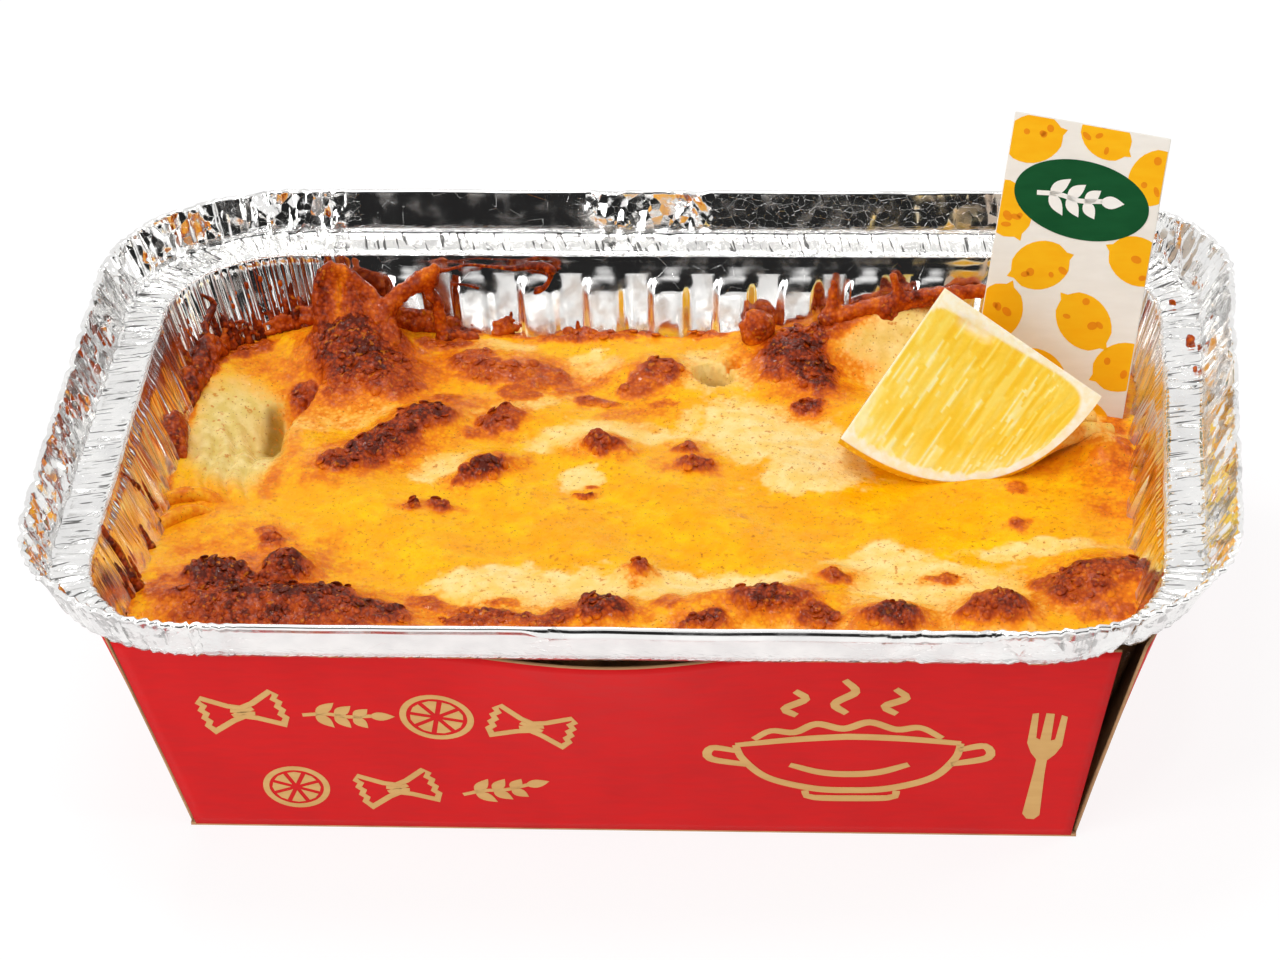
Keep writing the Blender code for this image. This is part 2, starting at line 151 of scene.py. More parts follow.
def cells(x, y, size, seed):
    """Distances to the nearest two of scattered points, in sizes, and a number for each cell."""
    scatter = np.random.default_rng(seed).random((3, 64, 64))
    gx, gy = np.asarray(x) / size + 640, np.asarray(y) / size + 640
    ix, iy = np.floor(gx).astype(int), np.floor(gy).astype(int)
    near = np.full(gx.shape, 9.0)
    second = np.full(gx.shape, 9.0)
    number = np.zeros(gx.shape)
    for step_x in (-1, 0, 1):
        for step_y in (-1, 0, 1):
            jx, jy = (ix + step_x) % 64, (iy + step_y) % 64
            away = np.hypot(ix + step_x + scatter[0, jx, jy] - gx, iy + step_y + scatter[1, jx, jy] - gy)
            closer = away < near
            second = np.where(closer, near, np.minimum(second, away))
            number = np.where(closer, scatter[2, jx, jy], number)
            near = np.minimum(near, away)
    return near, second, number


# Meshes

def grid_faces(rows, columns, closed=False):
    """Faces of a grid of points, row after row. A closed grid joins its last column to its first."""
    row = np.arange(rows - 1)[:, None] * columns
    column = np.arange(columns if closed else columns - 1)[None, :]
    following = (column + 1) % columns
    quads = np.stack([row + column, row + columns + column, row + columns + following, row + following], -1)
    return quads.reshape(-1, 4).tolist()


def border_of(rows, columns):
    """Numbers of the points round a grid's edge, in order."""
    return np.concatenate([
        np.arange(columns), np.arange(1, rows) * columns + columns - 1,
        (rows - 1) * columns + np.arange(columns - 2, -1, -1), np.arange(rows - 2, 0, -1) * columns])


def smooth_line(anchors, every, closed=False):
    """Rows on a smooth line through rows, spaced by the distance between their places."""
    if closed:
        padded = np.vstack([anchors[-1:], anchors, anchors[:2]])
    else:
        padded = np.vstack([2 * anchors[0] - anchors[1], anchors, 2 * anchors[-1] - anchors[-2]])
    found = []
    for number in range(1, len(padded) - 2):
        before, start, end, after = padded[number - 1:number + 3]
        steps = max(2, int(np.linalg.norm((end - start)[:3]) / every))
        for step in range(steps):
            t = step / steps
            found.append(0.5 * (
                2 * start + (end - before) * t + (2 * before - 5 * start + 4 * end - after) * t ** 2
                + (3 * start - before - 3 * end + after) * t ** 3))
    if not closed:
        found.append(padded[-2])
    return np.array(found)


def turn_outward(thing):
    work = bmesh.new()
    work.from_mesh(thing.data)
    bmesh.ops.recalc_face_normals(work, faces=work.faces)
    work.to_mesh(thing.data)
    work.free()


def make_piece(name, points, faces, finishes, masks=None, slots_of_faces=None, smooth=True):
    """One piece from points in millimetres. Masks give a named value for each point."""
    mesh = bpy.data.meshes.new(name)
    mesh.from_pydata((np.asarray(points, float) * MM).tolist(), [], faces)
    for finish in finishes:
        mesh.materials.append(finish)
    if slots_of_faces is not None:
        mesh.polygons.foreach_set("material_index", np.asarray(slots_of_faces, np.int32))
    for mask, values in (masks or {}).items():
        layer = mesh.attributes.new(mask, "FLOAT", "POINT")
        layer.data.foreach_set("value", np.asarray(values, np.float32).ravel())
    mesh.polygons.foreach_set("use_smooth", np.full(len(mesh.polygons), smooth))
    mesh.update()
    thing = bpy.data.objects.new(name, mesh)
    bpy.context.scene.collection.objects.link(thing)
    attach(thing, "root")
    return thing


def placed(points, middle, turns):
    """Points turned about Y, then X, then Z, and moved."""
    about_z, about_x, about_y = (
        Matrix.Rotation(math.radians(turn), 3, axis) for turn, axis in zip(turns, "ZXY"))
    turned = about_z @ about_x @ about_y
    return np.asarray(points, float) @ np.array(turned).T + np.array(middle)


# Shader work

class Bench:
    """Adds nodes to one node tree and joins them."""

    def __init__(self, tree):
        self.tree = tree

    def add(self, kind, inputs=None, **settings):
        node = self.tree.nodes.new(kind)
        for name, value in settings.items():
            setattr(node, name, value)
        for name, value in (inputs or {}).items():
            socket = node.inputs[name]
            if isinstance(value, bpy.types.NodeSocket):
                self.tree.links.new(value, socket)
            else:
                socket.default_value = value
        return node

    def sum(self, operation, first, second=0.0, third=0.0):
        node = self.add("ShaderNodeMath", {0: first, 1: second, 2: third}, operation=operation)
        return node.outputs[0]

    def vector(self, operation, first, second):
        return self.add("ShaderNodeVectorMath", {0: first, 1: second}, operation=operation).outputs

    def blend(self, share, first, second):
        return self.add("ShaderNodeMix", {0: share, 6: first, 7: second}, data_type="RGBA").outputs[2]

    def spread(self, value, low, high, new_low=0.0, new_high=1.0):
        inputs = {0: value, 1: low, 2: high, 3: new_low, 4: new_high}
        return self.add("ShaderNodeMapRange", inputs, interpolation_type="SMOOTHSTEP").outputs[0]

    def give(self, out, *sources):
        for number, source in enumerate(sources):
            self.tree.links.new(source, out.inputs[number])

    def mask(self, name):
        return self.add("ShaderNodeAttribute", attribute_name=name).outputs["Fac"]

    def value(self, name):
        node = self.add("GeometryNodeInputNamedAttribute", {"Name": name}, data_type="FLOAT")
        return node.outputs["Attribute"]

    def finished(self, geometry, finish):
        made = self.add("GeometryNodeRealizeInstances", {"Geometry": geometry}).outputs[0]
        return self.add("GeometryNodeSetMaterial", {"Geometry": made, "Material": finish}).outputs[0]

    def ramp(self, value, stops):
        node = self.add("ShaderNodeValToRGB", {0: value})
        elements = node.color_ramp.elements
        while len(elements) < len(stops):
            elements.new(0.5)
        for element, (place, colour) in zip(elements, stops):
            element.position = place
            element.color = colour
        return node.outputs[0]

    def bump(self, height, strength, distance, normal=None):
        inputs = {"Height": height, "Strength": strength, "Distance": distance * MM}
        if normal is not None:
            inputs["Normal"] = normal
        return self.add("ShaderNodeBump", inputs).outputs[0]


def new_group(name, inputs, outputs):
    """A shader node group with number inputs. inputs maps names to values, outputs are names."""
    group = bpy.data.node_groups.new(name, "ShaderNodeTree")
    for socket_name, value in inputs.items():
        socket = group.interface.new_socket(name=socket_name, in_out="INPUT", socket_type="NodeSocketFloat")
        socket.default_value = value
    for socket_name in outputs:
        group.interface.new_socket(name=socket_name, in_out="OUTPUT", socket_type="NodeSocketFloat")
    bench = Bench(group)
    return group, bench, bench.add("NodeGroupInput").outputs, bench.add("NodeGroupOutput")


def make_mottle_group():
    """Soft patches: noise of a size in millimetres, spread between two levels."""
    group, bench, given, out = new_group("mottle", {
        "Size": 2.0, "Detail": 3.0, "Low": 0.35, "High": 0.65, "Stretch X": 1.0, "Stretch Z": 1.0}, ["Mask"])
    place = bench.add("ShaderNodeTexCoord").outputs["Object"]
    stretches = {0: given["Stretch X"], 1: 1.0, 2: given["Stretch Z"]}
    stretched = bench.vector("MULTIPLY", place, bench.add("ShaderNodeCombineXYZ", stretches).outputs[0])[0]
    scale = bench.sum("DIVIDE", 1000.0, given["Size"])
    inputs = {"Vector": stretched, "Scale": scale, "Detail": given["Detail"]}
    noise = bench.add("ShaderNodeTexNoise", inputs).outputs[0]
    bench.give(out, bench.spread(noise, given["Low"], given["High"]))
    return group


def make_pebble_group():
    """Rounded grains: cells of a size in millimetres, high in the middle and low at their edges."""
    group, bench, given, out = new_group("pebbles", {"Size": 1.0, "Uneven": 1.0}, ["Height", "Number"])
    place = bench.add("ShaderNodeTexCoord").outputs["Object"]
    scale = bench.sum("DIVIDE", 1000.0, given["Size"])
    inputs = {"Vector": place, "Scale": scale, "Randomness": given["Uneven"]}
    grains = bench.add("ShaderNodeTexVoronoi", inputs)
    height = bench.sum("SUBTRACT", 1.0, grains.outputs["Distance"])
    bench.give(out, height, bench.add("ShaderNodeSeparateColor", {0: grains.outputs["Color"]}).outputs[0])
    return group


def make_facet_group():
    """Flat facets that meet in sharp creases, as in crumpled foil: each cell is a plane with its own tilt."""
    group, bench, given, out = new_group("facets", {"Size": 3.0, "Uneven": 1.0}, ["Height", "Number"])
    place = bench.add("ShaderNodeTexCoord").outputs["Object"]
    scale = bench.sum("DIVIDE", 1000.0, given["Size"])
    scaled = bench.add("ShaderNodeVectorMath", {0: place, "Scale": scale}, operation="SCALE").outputs[0]
    inputs = {"Vector": scaled, "Scale": 1.0, "Randomness": given["Uneven"]}
    planes = bench.add("ShaderNodeTexVoronoi", inputs).outputs
    away = bench.vector("SUBTRACT", scaled, planes["Position"])[0]
    tilt = bench.vector("SUBTRACT", planes["Color"], (0.5, 0.5, 0.5))[0]
    height = bench.vector("DOT_PRODUCT", away, tilt)["Value"]
    bench.give(out, height, bench.add("ShaderNodeSeparateColor", {0: planes["Color"]}).outputs[0])
    return group


def make_dash_group():
    """Thin strokes across the foil, told by each point's way round the tray and its way across a strip."""
    group, bench, given, out = new_group(
        "dashes", {"Width": 0.5, "Length": 4.0, "Slant": 0.0, "Low": 0.6, "High": 0.66}, ["Mask"])
    across = bench.mask("across")
    leaned = bench.sum("MULTIPLY_ADD", across, given["Slant"], bench.mask("around"))
    place = bench.add("ShaderNodeCombineXYZ", {
        0: bench.sum("DIVIDE", leaned, given["Width"]),
        1: bench.sum("DIVIDE", across, given["Length"])}).outputs[0]
    inputs = {"Vector": place, "Scale": 0.5, "Detail": 1.0}
    noise = bench.add("ShaderNodeTexNoise", inputs, noise_dimensions="2D").outputs[0]
    bench.give(out, bench.spread(noise, given["Low"], given["High"]))
    return group


MOTTLE = make_mottle_group()
DASHES = make_dash_group()
FACETS = make_facet_group()
PEBBLES = make_pebble_group()


def new_finish(name, **settings):
    """A material with its shader's fixed values set, its bench, and its shader."""
    finish = bpy.data.materials.new(name)
    finish.use_nodes = True
    shader = finish.node_tree.nodes["Principled BSDF"]
    for socket, value in settings.items():
        shader.inputs[socket.replace("_", " ")].default_value = value
    return finish, Bench(finish.node_tree), shader


def mottle(bench, size, low=0.35, high=0.65, detail=3.0, stretch_x=1.0, stretch_z=1.0):
    return group_node(bench, MOTTLE, {
        "Size": size, "Detail": detail, "Low": low, "High": high,
        "Stretch X": stretch_x, "Stretch Z": stretch_z}).outputs[0]


def group_node(bench, group, inputs):
    node = bench.tree.nodes.new("ShaderNodeGroup")
    node.node_tree = group
    for name, value in inputs.items():
        node.inputs[name].default_value = value
    return node


def pebbles(bench, size, uneven=1.0):
    node = group_node(bench, PEBBLES, {"Size": size, "Uneven": uneven})
    return node.outputs[0], node.outputs[1]


def dashes(bench, width, length, slant=0.0, low=0.6, high=0.66):
    inputs = {"Width": width, "Length": length, "Slant": slant, "Low": low, "High": high}
    return group_node(bench, DASHES, inputs).outputs[0]


def facets(bench, size):
    return group_node(bench, FACETS, {"Size": size}).outputs[0]


def join(bench, shader, **sockets):
    for name, source in sockets.items():
        bench.tree.links.new(source, shader.inputs[name.replace("_", " ")])


def make_foil_finish():
    finish, bench, shader = new_finish("crinkled_foil", Metallic=1.0, Roughness=0.16)
    stain = bench.mask("stain")
    crumple = bench.mask("crumple")
    film = bench.sum("MULTIPLY", stain, mottle(bench, 2.2, 0.47, 0.62, 5.0, stretch_z=0.55))
    grease = bench.ramp(mottle(bench, 1.4, 0.3, 0.7), [
        (0.0, screen(246, 190, 90)), (0.5, screen(190, 100, 28)), (1.0, screen(96, 38, 10))])
    metal = bench.ramp(mottle(bench, 7.0, 0.25, 0.75), [
        (0.0, screen(232, 231, 230)), (1.0, screen(248, 247, 245))])
    colour = bench.blend(film, metal, grease)
    roughness = bench.spread(bench.sum("ADD", film, mottle(bench, 4.0)), 0.0, 2.0, 0.07, 0.4)
    metallic = bench.spread(film, 0.1, 1.0, 1.0, 0.2)
    creased = bench.sum("MULTIPLY", bench.sum("MULTIPLY", facets(bench, 4.2), crumple), 2.6)
    normal = bench.bump(creased, 0.8, 1.0)
    finer = bench.sum("MULTIPLY", bench.sum("MULTIPLY", facets(bench, 1.5), crumple), 1.2)
    normal = bench.bump(finer, 0.8, 0.4, normal)
    softness = bench.spread(crumple, 0.0, 1.0, 0.04, 0.8)
    soft = bench.sum("MULTIPLY", mottle(bench, 1.1, 0.2, 0.8, 4.0), softness)
    normal = bench.bump(soft, 0.25, 0.1, normal)
    ledge, pleated = bench.mask("ledge"), bench.mask("pleated")
    # Painted shade: short dark grey strokes along the ledge's creases, as colour on the metal.
    strokes = bench.sum("MULTIPLY", dashes(bench, 0.32, 3.2, 0.25, 0.64, 0.69), ledge)
    colour = bench.blend(bench.sum("MULTIPLY", strokes, 0.85), colour, screen(60, 58, 56))
    scores = bench.sum("MULTIPLY", dashes(bench, 0.6, 4.0, 0.25, 0.35, 0.65), ledge)
    normal = bench.bump(scores, 0.35, 0.12, normal)
    flutes = bench.sum("MULTIPLY", dashes(bench, 0.75, 24.0, 0.06, 0.3, 0.7), pleated)
    normal = bench.bump(flutes, 0.8, 0.2, normal)
    join(bench, shader, Base_Color=colour, Roughness=roughness, Metallic=metallic, Normal=normal)
    return finish


# Colours of the crust, from just set to nearly black.
BAKED_COLOURS = (
    (0.04, screen(252, 192, 44)), (0.16, screen(246, 160, 20)), (0.3, screen(228, 120, 14)),
    (0.46, screen(194, 84, 12)), (0.64, screen(168, 62, 8)), (0.84, screen(130, 40, 5)),
    (1.0, screen(88, 24, 3)),
)


def make_cheese_finish():
    finish, bench, shader = new_finish(
        "baked_cheese", Roughness=0.32, IOR=1.45, Coat_Roughness=0.1, Specular_IOR_Level=0.1)
    bake = bench.mask("bake")
    cheddar = bench.mask("cheddar")
    pale_and_hollow_shade = bench.mask("pale_and_hollow_shade")
    fine = mottle(bench, 0.9, 0.25, 0.75, 5.0)
    middling = mottle(bench, 2.4, 0.3, 0.7, 4.0)
    broad = mottle(bench, 7.0, 0.32, 0.68, 3.0)
    grain, number = pebbles(bench, 0.8)
    # Painted shade between the crust's grains and painted light on their tops: the browning is raised in the
    # valleys and lowered on the tops.
    crevice_shade = bench.spread(grain, 0.35, 0.85, 1.16, 0.84)
    patchy = bench.sum("MULTIPLY", crevice_shade, bench.spread(middling, 0.0, 1.0, 0.82, 1.14))
    bake_and_crevice_shade = bench.sum("MULTIPLY", bake, patchy)
    bake_and_crevice_shade = bench.sum("MULTIPLY", bake_and_crevice_shade, bench.spread(number, 0.0, 1.0, 0.9, 1.08))
    cream = bench.blend(middling, screen(250, 206, 106), screen(253, 224, 150))
    yellow = bench.blend(broad, screen(250, 172, 2), screen(253, 196, 4))
    yellow = bench.blend(bench.sum("MULTIPLY", middling, 0.5), yellow, screen(243, 150, 4))
    soft_edge = bench.sum("ADD", cheddar, bench.spread(fine, 0.0, 1.0, -0.16, 0.16))
    melted = bench.blend(bench.spread(soft_edge, 0.05, 0.95), cream, yellow)
    sauce_and_hollow_shade = bench.blend(middling, screen(226, 196, 106), screen(246, 220, 146))
    # Painted shade: mask values above 1 darken the hollow on the left and the bubble holes.
    sauce_and_hollow_shade = bench.blend(bench.spread(pale_and_hollow_shade, 1.0, 2.0), sauce_and_hollow_shade, screen(150, 112, 36))
    melted = bench.blend(pale_and_hollow_shade, melted, sauce_and_hollow_shade)
    crust = bench.ramp(bake_and_crevice_shade, BAKED_COLOURS)
    colour = bench.blend(bench.spread(bake_and_crevice_shade, 0.02, 0.26), melted, crust)
    specks = bench.sum("MULTIPLY", mottle(bench, 1.0, 0.62, 0.68, 2.0), mottle(bench, 8.0, 0.4, 0.54))
    colour = bench.blend(bench.sum("MULTIPLY", specks, 0.7), colour, screen(206, 116, 18))
    # Painted shade: tiny darker dots for pores, with no pits in the surface.
    pores = bench.sum("MULTIPLY", mottle(bench, 0.45, 0.68, 0.73, 1.0), 0.7)
    colour = bench.blend(pores, colour, screen(140, 70, 10))
    roughness = bench.spread(mottle(bench, 1.8), 0.0, 1.0, 0.14, 0.34)
    rough_grain = bench.sum("MULTIPLY", grain, bench.spread(bake, 0.12, 0.6, 0.12, 1.0))
    normal = bench.bump(rough_grain, 0.5, 0.4)
    normal = bench.bump(mottle(bench, 0.7, 0.2, 0.8, 4.0), 0.45, 0.16, normal)
    shine = bench.spread(bake, 0.1, 0.6, 0.02, 0.13)
    join(bench, shader, Base_Color=colour, Roughness=roughness, Normal=normal, Coat_Weight=shine)
    return finish


def make_lemon_finish():
    finish, bench, shader = new_finish(
        "cut_lemon", Roughness=0.25, IOR=1.4, Specular_IOR_Level=0.3, Subsurface_Weight=0.25,
        Subsurface_Scale=0.004, Subsurface_Radius=(1.0, 0.7, 0.25))
    flesh = bench.mask("flesh")
    zest = bench.mask("zest")
    tone = bench.mask("tone")
    pulp = bench.ramp(tone, [
        (0.0, screen(248, 192, 30)), (0.35, screen(252, 208, 58)), (0.7, screen(254, 224, 104)),
        (1.0, screen(255, 243, 180))])
    pith = bench.blend(mottle(bench, 1.4), screen(252, 236, 196), screen(255, 247, 226))
    dimples, _ = pebbles(bench, 1.15)
    rind = bench.blend(bench.spread(dimples, 0.55, 0.9), screen(238, 176, 20), screen(253, 212, 50))
    colour = bench.blend(zest, bench.blend(flesh, pith, pulp), rind)
    roughness = bench.spread(bench.sum("ADD", flesh, bench.sum("MULTIPLY", zest, 0.6)), 0.0, 1.0, 0.6, 0.2)
    pores = bench.sum("MULTIPLY", bench.sum("SUBTRACT", 1.0, dimples), zest)
    normal = bench.bump(pores, 0.6, 0.35)
    normal = bench.bump(mottle(bench, 0.9, 0.2, 0.8, 4.0), 0.3, 0.12, normal)
    join(bench, shader, Base_Color=colour, Roughness=roughness, Normal=normal)
    return finish


def make_board_finish(name, dark, light, rough=0.6, fibre=0.12):
    """Board or print: two near tones in long fine fibres, and a slight tooth."""
    finish, bench, shader = new_finish(name, Roughness=rough, IOR=1.45, Specular_IOR_Level=0.12)
    fibres = mottle(bench, 1.2, 0.2, 0.8, 5.0, stretch_x=0.25)
    cloudy = mottle(bench, 12.0, 0.3, 0.7, 2.0)
    tone = bench.sum("MULTIPLY_ADD", cloudy, 0.35, bench.sum("MULTIPLY", fibres, 0.65))
    colour = bench.blend(tone, dark, light)
    roughness = bench.spread(fibres, 0.0, 1.0, rough - 0.07, rough + 0.07)
    normal = bench.bump(fibres, fibre, 0.1)
    join(bench, shader, Base_Color=colour, Roughness=roughness, Normal=normal)
    return finish


# Foil tray

class TrayRing:
    """Stations round the tray that every ring shares: evenly on the sides, closer on the corners."""

    def __init__(self):
        side_length = 2 * (LEDGE_OUTER - LEDGE_CORNER)
        corner_length = math.pi / 2 * LEDGE_CORNER
        names = ("across", "along", "out_x", "out_y", "arc", "side", "corner", "phase", "place")
        parts = {name: [] for name in names}
        travelled = 0.0
        for number in range(4):
            ribs = RIBS[number]
            start = math.radians(90 * number - 90)
            outward = (math.cos(start), math.sin(start))
            place = np.arange(ribs * RIB_STEPS) / (ribs * RIB_STEPS)
            swing, full = 2 * place - 1, np.ones_like(place)
            length = side_length[number % 2]
            across, along = ((swing, -full), (full, swing), (-swing, full), (-full, -swing))[number]
            ribs_passed = ribs - place * ribs if number == BACK_SIDE else place * ribs
            self.extend(parts, {
                "across": across, "along": along, "out_x": outward[0], "out_y": outward[1],
                "arc": travelled + place * length, "side": number, "corner": 0,
                "phase": (ribs_passed - RIB_SETBACK) % 1.0, "place": place})
            travelled += length
            turn = np.arange(CORNER_STEPS) / CORNER_STEPS
            angle = start + math.pi / 2 * turn
            across, along = CORNER_SIGNS[number]
            self.extend(parts, {
                "across": across, "along": along, "out_x": np.cos(angle), "out_y": np.sin(angle),
                "arc": travelled + turn * corner_length, "side": number, "corner": 1,
                "phase": -1, "place": turn})
            travelled += corner_length
        for name, pieces in parts.items():
            setattr(self, name, np.concatenate(pieces))
        self.length = travelled
        self.count = len(self.arc)

    @staticmethod
    def extend(parts, values):
        blank = np.zeros_like(values["arc"])
        for name, value in values.items():
            parts[name].append(value + blank)

    def points(self, half, radius, inward, height):
        """The ring of one rounded oblong."""
        x = self.across * (half[0] - radius) + self.out_x * (radius - inward)
        y = self.along * (half[1] - radius) + self.out_y * (radius - inward)
        return np.stack([x, y, height + np.zeros_like(x)], -1)

    def by_direction(self, sizes):
        across = np.where(self.out_x > 0, sizes["right"], sizes["left"])
        along = np.where(self.out_y > 0, sizes["back"], sizes["front"])
        return across * self.out_x ** 2 + along * self.out_y ** 2


def wall_half(height):
    return LEDGE_INNER - WALL_LEAN * (LEDGE_HEIGHT - height)


def wall_corner(height):
    part = (height - TRAY_FLOOR) / (LEDGE_HEIGHT - TRAY_FLOOR)
    return WALL_CORNER_FOOT + (WALL_CORNER_TOP - WALL_CORNER_FOOT) * part


def rib_depth(ring, height):
    """How far a rib stands in: a steep side, a flat crown and a slope, with a soft top on the ends."""
    phase = ring.phase
    crown = ease(0.0, 0.07, phase) * (1 - ease(0.47, 0.68, phase))
    top = RIB_TOP - 1.6 * np.abs(phase / 0.34 - 1) ** 2.6
    fade = np.where(ring.side % 2 == 0, ease(-2.9, 0.5, height - top), ease(-9.0, 1.5, height - RIB_TOP))
    return np.where(phase < 0, 0.0, RIB_DEPTH * crown * (1 - fade))


def pleat_row(ring, seed, narrow, wide):
    """Sharp uneven folds all the way round, from 0 to 1."""
    rng = np.random.default_rng(seed)
    places, heights = [0.0], [0.0]
    while places[-1] < ring.length:
        width = rng.uniform(narrow, wide)
        peak = rng.uniform(0.25, 0.6)
        places += [places[-1] + width * peak, places[-1] + width]
        heights += [rng.uniform(0.5, 1.0), rng.uniform(0.0, 0.25)]
    return np.interp(ring.arc, places, heights)


def creases(ring, seed, every, width, depth, slant):
    """Straight creases across a strip: a function of how far across the strip, from 0 to 1."""
    rng = np.random.default_rng(seed)
    count = int(ring.length / every)
    middles = np.sort(rng.uniform(0, ring.length, count))
    slants = rng.uniform(-slant, slant, count)
    widths = rng.uniform(0.6, 1.4, count) * width
    depths = rng.uniform(0.3, 1.0, count) * depth
    starts = rng.uniform(-0.4, 0.6, count)
    ends = starts + rng.uniform(0.4, 1.2, count)

    def at(part):
        total = np.zeros(ring.count)
        for middle, lean, wide, deep, start, end in zip(middles, slants, widths, depths, starts, ends):
            fade = ease(start - 0.15, start + 0.1, part) * (1 - ease(end - 0.1, end + 0.15, part))
            if fade > 0:
                away = np.abs(ring.arc - middle - lean * (part - 0.5))
                total += deep * fade * np.clip(1 - away / wide, 0, 1)
        return total

    return at


